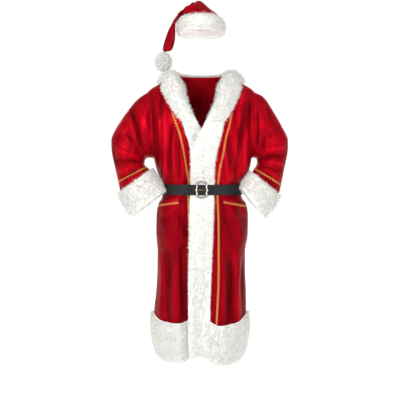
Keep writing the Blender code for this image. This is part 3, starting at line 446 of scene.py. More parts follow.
# %% Trunk surface
def angle_at(x, z):
    """The angle from the front of a point of the front: arctan of x over y = d (1 - |x/w|^n)^(1/n)."""
    w, d, e = column(TRUNK, 1, z), column(TRUNK, 3, z), column(TRUNK, 5, z)
    off = np.clip((x - column(TRUNK, 2, z)) / w, -0.999, 0.999)
    return np.degrees(np.arctan2(off * w, d * (1 - np.abs(off) ** e) ** (1 / e)))


def armhole_angle(z):
    """Degrees off the side seam: half an ellipse over the height, 0 at the armpit and the shoulder's tip."""
    u = np.clip((z - ARMPIT_Z) / (TIP_Z - ARMPIT_Z), 0.0, 1.0)
    return ARMHOLE_BACKSET * 2 * np.sqrt(u * (1 - u))


def trunk(angle, z, under=0.0):
    """The coat's outer surface at an angle from the front (+ towards the wearer's left) and a height.

    The radius is (|sin/w|^n + |cos/d|^n)^(-1/n), moved out by the folds' heights. Below the hips the point
    drops by the hem's table, and a bell takes the front in between the hem's two lobes. Behind the left band
    the right front goes in by the depth under.
    """
    angle, z = np.broadcast_arrays(np.asarray(angle, float), np.asarray(z, float))
    a = np.radians(angle)
    w, e = column(TRUNK, 1, z), column(TRUNK, 5, z)
    d = np.where(np.cos(a) > 0, column(TRUNK, 3, z), column(TRUNK, 4, z))
    r = ((np.abs(np.sin(a)) / w) ** e + (np.abs(np.cos(a)) / d) ** e) ** (-1 / e)
    x, y = r * np.sin(a) + column(TRUNK, 2, z), -r * np.cos(a)
    turned = np.abs((angle + 180) % 360 - 180)
    front = (turned < 90).astype(float)
    fade = smoothstep((np.abs(turned - 90) - armhole_angle(z) - 1.0) / 9)
    fade = fade * smoothstep((z + 1.15) / 0.10) * smoothstep((-z + 0.01) / 0.05)
    fade = fade * smoothstep((np.abs(z - BELT_Z) - 0.028) / 0.026)
    raised = fold_height(TRUNK_FOLDS, x, z, front) * fade
    out = unit(np.stack([np.sin(a), -np.cos(a) * 1.2], axis=-1))
    x, y = x + raised * out[..., 0], y + raised * out[..., 1]
    low = smoothstep((-z - 0.62) / 0.44)
    left = (angle + 180) % 360 - 180 > 0
    drop = np.where(left, column(HEM_DROP, 1, turned), column(HEM_DROP, 2, turned))
    y = y + 0.034 * low**2 * np.exp(-((x / 0.062) ** 2)) * front
    deep = under * (1 + 0.45 * smoothstep((-z - 0.95) / 0.12))
    y = y + deep * smoothstep((x - column(BANDS, 1, z) + 0.052) / 0.046)
    return np.stack([x, y, z - drop * low], axis=-1)


def trunk_normal(angle, z, under=0.0):
    """The cross product of a short step round the trunk and one up it, turned to point outwards."""
    a = trunk(angle + 0.4, z, under) - trunk(angle - 0.4, z, under)
    b = trunk(angle, z + 0.0015, under) - trunk(angle, z - 0.0015, under)
    n = unit(np.cross(a, b))
    rad = np.radians(angle)
    middle = np.stack([np.sin(rad), -np.cos(rad), 0 * rad], -1)
    return n * np.sign((n * middle).sum(-1, keepdims=True))


def on_trunk(angle, z, height, under=0.0):
    """(points, normals) at a height outside the trunk: the surface's point plus height times its normal."""
    angle, z = np.broadcast_arrays(np.asarray(angle, float), np.asarray(z, float))
    n = trunk_normal(angle, z, under)
    return trunk(angle, z, under) + n * np.broadcast_to(height, angle.shape)[..., None], n


def seam_x(side, z):
    """x of the seam between a front and its plush band, and of the front's edge under the collar above it."""
    low = column(BANDS, 2 if side > 0 else 4, z)
    edge = [0.104, 0.100, 0.088] if side > 0 else [0.089, 0.092, 0.088]
    high = side * np.interp(z, [-0.17, -0.10, NECK_Z], edge)
    return np.where(np.asarray(z) < COLLAR_SEAM, low, high)


waist = trunk(np.linspace(0, 360, 361), BELT_Z)
print("round the waist", round(float(np.linalg.norm(np.diff(waist, axis=0), axis=1).sum()), 3))

# %% [markdown]
# ## Making a mesh from arrays
# Points go in whole, faces as quads of a grid. Each sheet of cloth has a map in metres, so that its nap and
# its weave run along the cut and not along the room.


# %% Mesh helpers
def mesh_of(name, points, quads=(), tris=(), uv=None):
    """A smooth mesh object at the origin from arrays of points, quads, triangles and a map for each point."""
    quads, tris = np.asarray(quads, np.int32).reshape(-1, 4), np.asarray(tris, np.int32).reshape(-1, 3)
    corners = np.concatenate([quads.ravel(), tris.ravel()]).astype(np.int32)
    starts = np.concatenate([np.arange(len(quads)) * 4, 4 * len(quads) + np.arange(len(tris)) * 3])
    mesh = bpy.data.meshes.new(name)
    mesh.vertices.add(len(points))
    mesh.vertices.foreach_set("co", np.ascontiguousarray(points, np.float32).ravel())
    mesh.loops.add(len(corners))
    mesh.loops.foreach_set("vertex_index", corners)
    mesh.polygons.add(len(starts))
    mesh.polygons.foreach_set("loop_start", starts.astype(np.int32))
    mesh.update(calc_edges=True)
    mesh.polygons.foreach_set("use_smooth", np.ones(len(starts), bool))
    if uv is not None:
        layer = mesh.uv_layers.new(name="cloth")
        layer.data.foreach_set("uv", np.asarray(uv, np.float32)[corners].ravel())
    obj = bpy.data.objects.new(name, mesh)
    bpy.context.scene.collection.objects.link(obj)
    return obj


def grid_quads(points, normals, closed=False):
    """Quads of a grid of rows and columns, turned so that they face along its normals."""
    rows, columns = points.shape[:2]
    at = np.arange(rows * columns).reshape(rows, columns)
    right = np.roll(at, -1, 1) if closed else at[:, 1:]
    left = at if closed else at[:, :-1]
    quads = np.stack([left[:-1], right[:-1], right[1:], left[1:]], -1).reshape(-1, 4)
    p = points.reshape(-1, 3)[quads]
    face = np.cross(p[:, 2] - p[:, 0], p[:, 3] - p[:, 1])
    if (face * normals.reshape(-1, 3)[quads[:, 0]]).sum() < 0:
        quads = quads[:, ::-1]
    return quads


def grid_metres(points):
    """Each grid point's place along its row and up its column, in metres."""
    step_u = np.linalg.norm(np.diff(points, axis=1), axis=2).mean(0)
    step_v = np.linalg.norm(np.diff(points, axis=0), axis=2).mean(1)
    u = np.concatenate([[0], np.cumsum(step_u)])[None, :] + 0 * points[..., 0]
    v = np.concatenate([[0], np.cumsum(step_v)])[:, None] + 0 * points[..., 0]
    return np.stack([u, v], -1)


def sheet_object(name, points, normals, thick, material, closed=False, crease=None):
    """A cloth sheet: one layer of quads, given its thickness inwards by Solidify."""
    uv = grid_metres(points).reshape(-1, 2)
    obj = mesh_of(name, points.reshape(-1, 3), grid_quads(points, normals, closed), (), uv)
    # crease is each point's fold height, from which the velour paints shade into the troughs and highlight onto
    # the ridges
    if crease is not None:
        fold_shade = obj.data.attributes.new("crease", "FLOAT", "POINT")
        fold_shade.data.foreach_set("value", np.clip(crease, -1, 1).astype(np.float32).ravel())
    obj.data.materials.append(material)
    if thick:
        wall = obj.modifiers.new("thickness", "SOLIDIFY")
        wall.thickness, wall.offset = thick, -1.0
    return obj


def finish_piece(obj, slot, *nodes):
    """The piece moves with the one body and takes the place of the plain solids; slot, its finish's name, is
    not used.
    """
    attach(obj, "root")
    if nodes:
        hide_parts(*nodes)
    return obj


def cloth_area(obj):
    """The area of a mesh before its modifiers, in square metres."""
    areas = np.empty(len(obj.data.polygons))
    obj.data.polygons.foreach_get("area", areas)
    return float(areas.sum())


# %% [markdown]
# ## Materials
# Each finish is a function that fills a new material with nodes. A texture picture could carry the cloth's
# tones, but noise worked out in the object's own metres has no seams and is the right size on every piece.
# These few helpers each add one node and give back its socket, so that a finish reads as a short recipe.


# %% Node helpers
def new_material(name):
    """(material, its nodes, its links, its Principled shader)."""
    mat = bpy.data.materials.new(name)
    mat.use_nodes = True
    nodes, links = mat.node_tree.nodes, mat.node_tree.links
    return mat, nodes, links, nodes["Principled BSDF"]


def noise_node(nodes, links, vector, scale, detail=2.0, rough=0.5):
    """Cloudy noise from 0 to 1, about scale lumps to a metre."""
    node = nodes.new("ShaderNodeTexNoise")
    node.inputs["Scale"].default_value = scale
    node.inputs["Detail"].default_value = detail
    node.inputs["Roughness"].default_value = rough
    links.new(vector, node.inputs["Vector"])
    return node.outputs["Fac"]


def stretched(nodes, links, vector, scale):
    """The place times a scale on each axis: under 1 draws a pattern out along that axis."""
    node = nodes.new("ShaderNodeMapping")
    node.inputs["Scale"].default_value = scale
    links.new(vector, node.inputs["Vector"])
    return node.outputs["Vector"]


def ramp_node(nodes, links, fac, stops):
    """A colour between stops of (place, colour)."""
    node = nodes.new("ShaderNodeValToRGB")
    ramp = node.color_ramp
    while len(ramp.elements) < len(stops):
        ramp.elements.new(0.5)
    for element, (place, colour) in zip(ramp.elements, stops):
        element.position, element.color = place, (*colour, 1.0)
    links.new(fac, node.inputs["Fac"])
    return node.outputs["Color"]


def bump_node(nodes, links, height, strength, distance, normal=None):
    """The normal tilted by a height that stands up to distance metres proud, on top of another normal."""
    node = nodes.new("ShaderNodeBump")
    node.inputs["Strength"].default_value = strength
    node.inputs["Distance"].default_value = distance
    links.new(height, node.inputs["Height"])
    if normal is not None:
        links.new(normal, node.inputs["Normal"])
    return node.outputs["Normal"]


# %% [markdown]
# ## Red velour
# Velour is knitted cloth with a dense short pile: deep where one looks into it, bright where it bends the light
# back, and streaked by the lie of its pile. Millions of hairs would be far too many, so a streaked base colour,
# a little metal and sheen and a bump stand for them. Each fold's height is stored on the mesh as crease, by
# which the base colour is painted with shade in the troughs and with highlight on the ridges; the colour is
# also painted darker, as shade, down the skirt.


# %% Red velour
def make_velour(name):
    """Streaks in three reds, times painted shade and highlight by the fold's height, times painted shade lower
    down the coat.
    """
    mat, nodes, links, shader = new_material(name)
    place = nodes.new("ShaderNodeTexCoord").outputs["Object"]
    lie = noise_node(nodes, links, stretched(nodes, links, place, (1, 1, 0.22)), 26.0, 3.0, 0.55)
    reds = [(0.28, (0.16, 0.0003, 0.0030)), (0.5, (0.26, 0.0006, 0.0052)), (0.72, (0.37, 0.0010, 0.0078))]
    colour = ramp_node(nodes, links, lie, reds)
    # painted shade and highlight: crease sets the base colour to 0.30 of itself in the deepest troughs and to
    # 1.60 on the highest ridges
    depth = nodes.new("ShaderNodeAttribute")
    depth.attribute_name = "crease"
    shade = nodes.new("ShaderNodeMapRange")
    for socket, value in (("From Min", -1), ("From Max", 1), ("To Min", 0.30), ("To Max", 1.60)):
        shade.inputs[socket].default_value = value
    links.new(depth.outputs["Fac"], shade.inputs["Value"])
    # painted shade: the base colour darkens from z = -0.40 down to two thirds of itself at z = -0.70 and below,
    # so the skirt looks deeper than the chest
    high = nodes.new("ShaderNodeSeparateXYZ")
    links.new(place, high.inputs["Vector"])
    skirt_shade = nodes.new("ShaderNodeMapRange")
    for socket, value in (("From Min", -0.70), ("From Max", -0.40), ("To Min", 0.66), ("To Max", 1.0)):
        skirt_shade.inputs[socket].default_value = value
    links.new(high.outputs["Z"], skirt_shade.inputs["Value"])
    product = nodes.new("ShaderNodeMath")
    product.operation = "MULTIPLY"
    links.new(shade.outputs["Result"], product.inputs[0])
    links.new(skirt_shade.outputs["Result"], product.inputs[1])
    both = nodes.new("ShaderNodeVectorMath")
    both.operation = "SCALE"
    links.new(colour, both.inputs[0])
    links.new(product.outputs["Value"], both.inputs["Scale"])
    links.new(both.outputs["Vector"], shader.inputs["Base Color"])
    crease = noise_node(nodes, links, stretched(nodes, links, place, (1, 1, 0.35)), 34.0, 3.0, 0.6)
    nap = noise_node(nodes, links, place, 1500.0, 1.0, 0.5)
    normal = bump_node(nodes, links, crease, 0.6, 0.0050)
    normal = bump_node(nodes, links, nap, 0.12, 0.0004, normal)
    links.new(normal, shader.inputs["Normal"])
    shader.inputs["Roughness"].default_value = 0.40
    shader.inputs["Metallic"].default_value = 0.30
    shader.inputs["Specular IOR Level"].default_value = 0.18
    shader.inputs["Specular Tint"].default_value = (1.0, 0.10, 0.14, 1.0)
    shader.inputs["Sheen Weight"].default_value = 0.06
    shader.inputs["Sheen Roughness"].default_value = 0.30
    shader.inputs["Sheen Tint"].default_value = (1.0, 0.08, 0.12, 1.0)
    return mat


# %% [markdown]
# ## White plush
# Faux fur is a knitted ground with loose white fibres of 12 to 17 mm. They let light through and pass it on
# to each other, so the pile looks bright even on its shaded side. A pure diffuse white would go grey between
# the blades. Half of the fibre's light therefore goes through it, and a little glow stands for the light
# that has bounced about inside.


# %% White plush
def make_plush(name, fibre):
    """Patchy warm white; a fibre is painted with shade towards its root, by the attribute pile, and is half
    clear to light.
    """
    mat, nodes, links, shader = new_material(name)
    place = nodes.new("ShaderNodeTexCoord").outputs["Object"]
    patch = noise_node(nodes, links, place, 55.0, 3.0, 0.6)
    colour = ramp_node(nodes, links, patch, [(0.3, (0.92, 0.915, 0.885)), (0.7, (0.99, 0.985, 0.96))])
    if fibre:
        # painted shade: a fibre's colour falls to 0.85 of itself at its root, where the pile shades itself
        depth = nodes.new("ShaderNodeAttribute")
        depth.attribute_name = "pile"
        shade = ramp_node(nodes, links, depth.outputs["Fac"], [(0.0, (0.85, 0.845, 0.82)), (0.6, (1, 1, 1))])
        mix = nodes.new("ShaderNodeMix")
        mix.data_type, mix.blend_type = "RGBA", "MULTIPLY"
        mix.inputs[0].default_value = 1.0
        links.new(colour, mix.inputs[6])
        links.new(shade, mix.inputs[7])
        colour = mix.outputs[2]
    links.new(colour, shader.inputs["Base Color"])
    shader.inputs["Roughness"].default_value = 0.9
    shader.inputs["Specular IOR Level"].default_value = 0.15
    shader.inputs["Sheen Weight"].default_value = 0.3
    shader.inputs["Sheen Roughness"].default_value = 0.5
    # painted light: a glow stands for the light that passes through many fibres and comes back from all of the
    # pile, and a weaker glow on the ground lightens it between the blades
    shader.inputs["Emission Color"].default_value = (1.0, 0.99, 0.97, 1.0)
    shader.inputs["Emission Strength"].default_value = 0.29 if fibre else 0.15
    if fibre:
        through = nodes.new("ShaderNodeBsdfTranslucent")
        links.new(colour, through.inputs["Color"])
        both = nodes.new("ShaderNodeMixShader")
        both.inputs["Fac"].default_value = 0.5
        links.new(shader.outputs["BSDF"], both.inputs[1])
        links.new(through.outputs["BSDF"], both.inputs[2])
        links.new(both.outputs["Shader"], nodes["Material Output"].inputs["Surface"])
    else:
        curl = noise_node(nodes, links, place, 260.0, 2.0, 0.6)
        links.new(bump_node(nodes, links, curl, 0.25, 0.002), shader.inputs["Normal"])
    return mat


# %% [markdown]
# ## Gold yarn, coated strap and plated metal
# The braid is metallic yarn, the belt a coated fabric with a faint grain, and the buckle cheap plating,
# tarnished in its hollows. Each is a plain Principled shader; only its colour steps and its grain differ. On
# yarn and metal the same noise drives both, so that what is dark is also low: on the yarn this paints shade
# into its hollows and glints onto its high spots, and on the metal it is tarnish and painted shade together.


# %% Braid, belt and buckle
def make_braid(name):
    """Yarn: three golds by a fine noise, which is also its bump; the dark gold in its low spots is painted
    shade and the bright gold on its high spots a painted glint.
    """
    mat, nodes, links, shader = new_material(name)
    place = nodes.new("ShaderNodeTexCoord").outputs["Object"]
    yarn = noise_node(nodes, links, place, 420.0, 2.0, 0.6)
    # the golds vary along the yarn; as the bump's own noise they also paint shade into its hollows and glints
    # onto its high spots
    golds = [(0.3, (0.42, 0.16, 0.025)), (0.5, (0.70, 0.34, 0.07)), (0.7, (0.90, 0.55, 0.17))]
    colour = ramp_node(nodes, links, yarn, golds)
    links.new(colour, shader.inputs["Base Color"])
    links.new(bump_node(nodes, links, yarn, 0.4, 0.0006), shader.inputs["Normal"])
    shader.inputs["Metallic"].default_value = 0.45
    shader.inputs["Roughness"].default_value = 0.38
    return mat


def make_strap(name):
    """Coated fabric: a near black that wears a little lighter in patches, with a fine grain."""
    mat, nodes, links, shader = new_material(name)
    place = nodes.new("ShaderNodeTexCoord").outputs["Object"]
    worn = noise_node(nodes, links, place, 30.0, 3.0, 0.6)
    colour = ramp_node(nodes, links, worn, [(0.3, (0.006, 0.007, 0.0075)), (0.7, (0.012, 0.0135, 0.014))])
    links.new(colour, shader.inputs["Base Color"])
    grain = noise_node(nodes, links, place, 900.0, 2.0, 0.6)
    links.new(bump_node(nodes, links, grain, 0.25, 0.0004), shader.inputs["Normal"])
    shader.inputs["Roughness"].default_value = 0.50
    shader.inputs["Specular IOR Level"].default_value = 0.14
    shader.inputs["Coat Weight"].default_value = 0.03
    shader.inputs["Coat Roughness"].default_value = 0.35
    return mat


def make_metal(name, dark, middle, bright):
    """Plating: dark in its hollows by tarnish and painted shade, bright on its high spots."""
    mat, nodes, links, shader = new_material(name)
    place = nodes.new("ShaderNodeTexCoord").outputs["Object"]
    # the colour is dark where this noise, which is also the bump, is low: tarnish and painted shade together
    tarnish_and_shade = noise_node(nodes, links, place, 320.0, 3.0, 0.65)
    colour = ramp_node(nodes, links, tarnish_and_shade, [(0.36, dark), (0.52, middle), (0.72, bright)])
    links.new(colour, shader.inputs["Base Color"])
    links.new(bump_node(nodes, links, tarnish_and_shade, 0.3, 0.0006), shader.inputs["Normal"])
    shader.inputs["Metallic"].default_value = 1.0
    shader.inputs["Roughness"].default_value = 0.33
    return mat


VELOUR = make_velour("red_velour")
PLUSH, FIBRE = make_plush("plush_ground", False), make_plush("plush_pile", True)
GOLD, STRAP = make_braid("gold_braid"), make_strap("belt_coating")
FILIGREE = make_metal("antique_plate", (0.07, 0.055, 0.04), (0.34, 0.29, 0.22), (0.72, 0.68, 0.58))
BRIGHT = make_metal("bright_plate", (0.40, 0.38, 0.33), (0.82, 0.80, 0.74), (0.95, 0.94, 0.90))
BRASS = make_metal("old_brass", (0.05, 0.03, 0.012), (0.26, 0.15, 0.05), (0.52, 0.34, 0.14))
print("materials:", [m.name for m in (VELOUR, PLUSH, FIBRE, GOLD, STRAP, FILIGREE, BRIGHT, BRASS)])

# %% [markdown]
# ## The coat's panels
# The back runs from side seam to side seam and stops short at the armholes. Each front runs from its plush
# band to the same side. They could be cut from a flat pattern and draped by the cloth simulation, but then
# the creases would fall where they like. Grids on the trunk's surface keep each fold in its place, let it
# carry on across a seam, and need only a wall thickness from Solidify.


# %% Back and fronts
def panel_heights(rows):
    """Even heights from the hem's seam to the neck."""
    return np.linspace(PANEL_BOTTOM, NECK_Z, rows)


def side_angles(z):
    """How far from the front each height's side edge is: 90 degrees, or less along the armhole."""
    armhole = (z > ARMPIT_Z) & (z < TIP_Z)
    return 90 - np.where(armhole, armhole_angle(z), np.degrees(SEAM / 2 / column(TRUNK, 1, z)))


def make_back():
    """The trunk from one side's angle, round the back, to the other's, at every height."""
    z = panel_heights(140)
    start = 180 - side_angles(z)
    angles = start[:, None] + (360 - 2 * start)[:, None] * np.linspace(0, 1, 112)[None, :]
    return on_trunk(angles, z[:, None] + 0 * angles, 0.0)


def make_front(side):
    """The trunk from the band's seam to the side's angle, at every height."""
    z = panel_heights(190)
    first = angle_at(seam_x(side, z), z) + side * 0.2
    last = side * side_angles(z)
    angles = first[:, None] + (last - first)[:, None] * np.linspace(0, 1, 84)[None, :]
    return on_trunk(angles, z[:, None] + 0 * angles, 0.0, 0.0 if side > 0 else UNDER)


coat = {"coat_back": make_back(), "coat_front_left": make_front(1), "coat_front_right": make_front(-1)}
for node, (points, normals) in coat.items():
    front = (points[..., 1] < 0).astype(float)
    # each point's fold height over the deepest fold, by which the velour paints shade and highlight
    fold_shade = fold_height(TRUNK_FOLDS, points[..., 0], points[..., 2], front) / DEEP_FOLD
    piece = sheet_object("velour_" + node, points, normals, CLOTH, VELOUR, crease=fold_shade)
    finish_piece(piece, "red_velour", node)
    width, tall = (0.56, 1.20) if node == "coat_back" else (0.28, 1.17)
    print(node, "area", round(cloth_area(piece), 3), "flat", width * tall)

# %% [markdown]
# ## Sleeves
# The real sleeve is one wide piece sewn into a tube, bent at the elbow because the hands rest on the hips. A
# straight tube with a bend modifier would crumple at the crook. Here it is a tube through sections that fan
# out there: each section goes from a point on the outer line to one on the inner line. Its first section
# follows the armhole cut in the trunk.


# %% Sleeve surface
def sleeve(side, turn, at):
    """Centre of the section plus its half width times cos(turn), and its half depth times sin(turn) in y.

    The folds' heights move y out. Near the armhole the ring is carried over, by a share that falls from 1 to
    0, to the armhole's own loop on the trunk, tucked just under its edge.
    """
    table = SLEEVE_LEFT if side > 0 else SLEEVE_RIGHT
    turn, at = np.broadcast_arrays(np.asarray(turn, float), np.asarray(at, float))
    keys = np.arange(len(table))
    ox, oz, ix, iz, depth, y0 = (smooth_curve(keys, [row[k] for row in table], at) for k in range(1, 7))
    c, s = np.cos(np.radians(turn)), np.sin(np.radians(turn))
    x, z = (ox + ix) / 2 + (ox - ix) / 2 * c, (oz + iz) / 2 + (oz - iz) / 2 * c
    y = y0 - depth * np.sign(s) * np.abs(s) ** 0.92
    folds = SLEEVE_FOLDS_LEFT if side > 0 else SLEEVE_FOLDS_RIGHT
    raised = fold_height(folds, x, z, (s > 0).astype(float))
    fade = smoothstep(np.abs(s) / 0.5) * smoothstep((at - 0.05) / 0.6) * smoothstep((7.5 - at) / 0.8)
    # small puckers where the sleeve's head is eased into the armhole
    eased = 0.0022 * np.cos(np.radians(turn) * 22) * np.exp(-((at - 0.22) ** 2) / 0.03)
    eased = eased * smoothstep((c + 0.1) / 0.6)
    y = y - (raised * fade + eased) * np.sign(s)
    up = (1 + c) / 2
    loop_z = ARMPIT_Z + (TIP_Z - ARMPIT_Z) * up
    tuck = 1 - smoothstep(at / 0.16)
    back = armhole_angle(loop_z) + 1.2 * tuck
    loop = trunk(side * np.where(s >= 0, 90 - back, 90 + back), loop_z)
    row = table[0]
    start_y = row[6] - row[5] * np.sign(s) * np.abs(s) ** 0.92
    start_x = (row[1] + row[3]) / 2 + (row[1] - row[3]) / 2 * c
    start_z = (row[2] + row[4]) / 2 + (row[2] - row[4]) / 2 * c
    start = np.stack([side * start_x, start_y, start_z], -1)
    blend = 1 - smoothstep(at / 1.8)
    loop = loop + (SEAM - 0.0034 * tuck)[..., None] * np.array([side, 0, 0])
    loop = loop - 0.0024 * (tuck * np.sign(s))[..., None] * np.array([0, -1.0, 0])
    return np.stack([side * x, y, z], -1) + (loop - start) * blend[..., None]


def on_tube(surface, last, turn, at, height):
    """(points, normals) at a height outside a tube: a step round it crossed with a step along it."""
    turn, at = np.broadcast_arrays(np.asarray(turn, float), np.asarray(at, float))
    near = lambda da, db: surface(turn + da, np.clip(at + db, 0, last))
    n = unit(np.cross(near(1, 0) - near(-1, 0), near(0, 0.02) - near(0, -0.02)))
    here = near(0, 0)
    middle = (surface(0 * turn, at) + surface(0 * turn + 180, at)) / 2
    n = n * np.sign((n * (here - middle)).sum(-1, keepdims=True))
    return here + n * np.broadcast_to(height, turn.shape)[..., None], n


def on_sleeve(side, turn, at, height):
    """The same for one sleeve, from its head to its cuff's end."""
    return on_tube(lambda t, a: sleeve(side, t, a), CUFF_END, turn, at, height)


TURNS = np.linspace(0, 360, 96, endpoint=False)[None, :]
for side, word in ((1, "left"), (-1, "right")):
    at = np.linspace(0, CUFF_AT, 100)[:, None]
    points, normals = on_sleeve(side, TURNS, at, 0.0)
    folds = SLEEVE_FOLDS_LEFT if side > 0 else SLEEVE_FOLDS_RIGHT
    # each point's fold height over the deepest fold, by which the velour paints shade and highlight
    fold_shade = fold_height(folds, side * points[..., 0], points[..., 2], (TURNS < 180) + 0.0 * at) / DEEP_FOLD
    piece = sheet_object("velour_sleeve_" + word, points, normals, CLOTH, VELOUR, closed=True, crease=fold_shade)
    finish_piece(piece, "red_velour", "sleeve_" + word)
    print("sleeve", word, "area", round(cloth_area(piece), 3))

# %% [markdown]
# ## Pockets
# A patch pocket is an oblong of the coat's own cloth sewn on at three sides. It lies a little way outside its
# front, slants down towards the side, and gapes at its mouth, where the braid holds it. Being worked out from
# the coat's surface, it follows the hip without any fitting.


# %% Pocket surface
def pocket(side, across, up, height):
    """The trunk moved out by a height plus the mouth's gape.

    across runs 0..1 from the front edge to the side, up 0..1 from the bottom to the slanting mouth.
    """
    first = float(angle_at(side * POCKET_FROM, -0.6))
    angles = first + (side * POCKET_TO - first) * across
    x = np.abs(trunk(angles, -0.6 + 0 * angles)[..., 0])
    top = POCKET_TOP - POCKET_SLANT * (x - POCKET_FROM)
    z = POCKET_BOTTOM + (top - POCKET_BOTTOM) * up
    gape = 0.0022 + 0.0075 * smoothstep((up - 0.7) / 0.3) * (0.35 + np.sin(np.pi * across) ** 2)
    return on_trunk(angles, z, gape + height, 0.0 if side > 0 else UNDER)


for side, word in ((1, "left"), (-1, "right")):
    across, up = np.meshgrid(np.linspace(0, 1, 40), np.linspace(0, 1, 44))
    points, normals = pocket(side, across, up, 0.0)
    piece = sheet_object("velour_pocket_" + word, points, normals, CLOTH, VELOUR)
    finish_piece(piece, "red_velour", "pocket_" + word)
    print("pocket", word, "area", round(cloth_area(piece), 4))

# %% [markdown]
# ## Zigzag braid
# The real trim is a narrow gold rickrack, sewn down along its middle. A flat strip with a zigzag picture on
# it would look painted from the side, so this is a yarn. Its middle is found first on the cloth, then moved
# across by a triangle wave of the distance along it, and a small rounded section sweeps along it.


# %% Braid maker
def braid_object(name, line, normals, closed=False, swing=0.0048, period=0.0145, width=0.0033, thick=0.0016):
    """The points of line plus the arrow across it times swing times a triangle wave, raised off the cloth.

    line and normals are points on the cloth, and one period of the wave is period long.
    """
    if closed:
        line, normals = np.concatenate([line, line[:1]]), np.concatenate([normals, normals[:1]])
    reach = np.concatenate([[0], np.cumsum(np.linalg.norm(np.diff(line, axis=0), axis=1))])
    turns = max(2, round(reach[-1] / period))
    at = np.linspace(0, reach[-1], turns * 10 + 1)
    pick = lambda grid: np.stack([np.interp(at, reach, grid[:, k]) for k in range(3)], 1)
    middle, out = pick(line), unit(pick(normals))
    ahead = unit(np.gradient(middle, axis=0))
    across = unit(np.cross(out, ahead))
    wave = np.arcsin(0.97 * np.sin(2 * np.pi * turns * at / reach[-1])) / math.asin(0.97)
    path = middle + across * (wave * swing)[:, None] + out * (SEAM + thick / 2)
    if closed:
        path, out = path[:-1], out[:-1]
    step = np.roll(path, -1, 0) - np.roll(path, 1, 0) if closed else np.gradient(path, axis=0)
    side = unit(np.cross(out, unit(step)))
    ring = np.array([(-0.5, -0.2), (-0.3, 0.4), (0.0, 0.5), (0.3, 0.4), (0.5, -0.2), (0.0, -0.5)])
    section = side[:, None] * ring[None, :, :1] * width + out[:, None] * ring[None, :, 1:] * thick
    points = path[:, None] + section
    quads = grid_quads(points, section, closed=True)
    if closed:
        n, m = points.shape[:2]
        last, first = (n - 1) * m + np.arange(m), np.arange(m)
        quads = np.concatenate([quads, np.stack([last, np.roll(last, -1), np.roll(first, -1), first], 1)])
    obj = mesh_of(name, points.reshape(-1, 3), quads)
    obj.data.materials.append(GOLD)
    print(name, "length", round(float(reach[-1]), 3), "zigzags", turns)
    return finish_piece(obj, "gold_braid", name.replace("yarn_", ""))


# %% [markdown]
# ## Where the braid runs
# One line runs down each front beside the plush, one goes round each sleeve above its cuff, and a short one
# crosses each pocket below its mouth. The same maker draws all six from a line on the cloth.

# %% Braid on fronts, sleeves and pockets
for side, word in ((1, "left"), (-1, "right")):
    z = np.linspace(-1.085, -0.125, 260)
    x = column(FRONT_BRAIDS, 1 if side > 0 else 2, z)
    line, normals = on_trunk(angle_at(x, z), z, 0.0, 0.0 if side > 0 else UNDER)
    braid_object("yarn_braid_front_" + word, line, normals)
    line, normals = on_sleeve(side, np.linspace(0, 360, 140, endpoint=False), BRAID_AT, 0.0)
    braid_object("yarn_braid_sleeve_" + word, line, normals, closed=True)
    across = np.linspace(0.02, 0.98, 60)
    line, normals = pocket(side, across, 0 * across + 1 - POCKET_BRAID_DOWN / POCKET_DEPTH, 0.0)
    braid_object("yarn_braid_pocket_" + word, line, normals)

# %% [markdown]
# ## Plush
# The ground cloth is a thin shell, and the fibres stand on it. Hair strands would not travel to the exported
# model, and a bump alone leaves a hard outline, so the pile is a crowd of small blades, one quad and a tip
# each, set at even chance over the area. Each leans with the comb and towards the middle of its tuft, which
# gives plush its soft clumps. Each carries nearly the ground's normal, so that light falls on it as one mass.


# %% Pile maker
PILE_PER_M2, TUFT = 245000, 0.011
# odd numbers that scatter the tufts' middles
SCATTER = np.array([[127.1, 269.5, 419.2], [311.7, 183.3, 371.9], [74.7, 246.1, 157.7]])


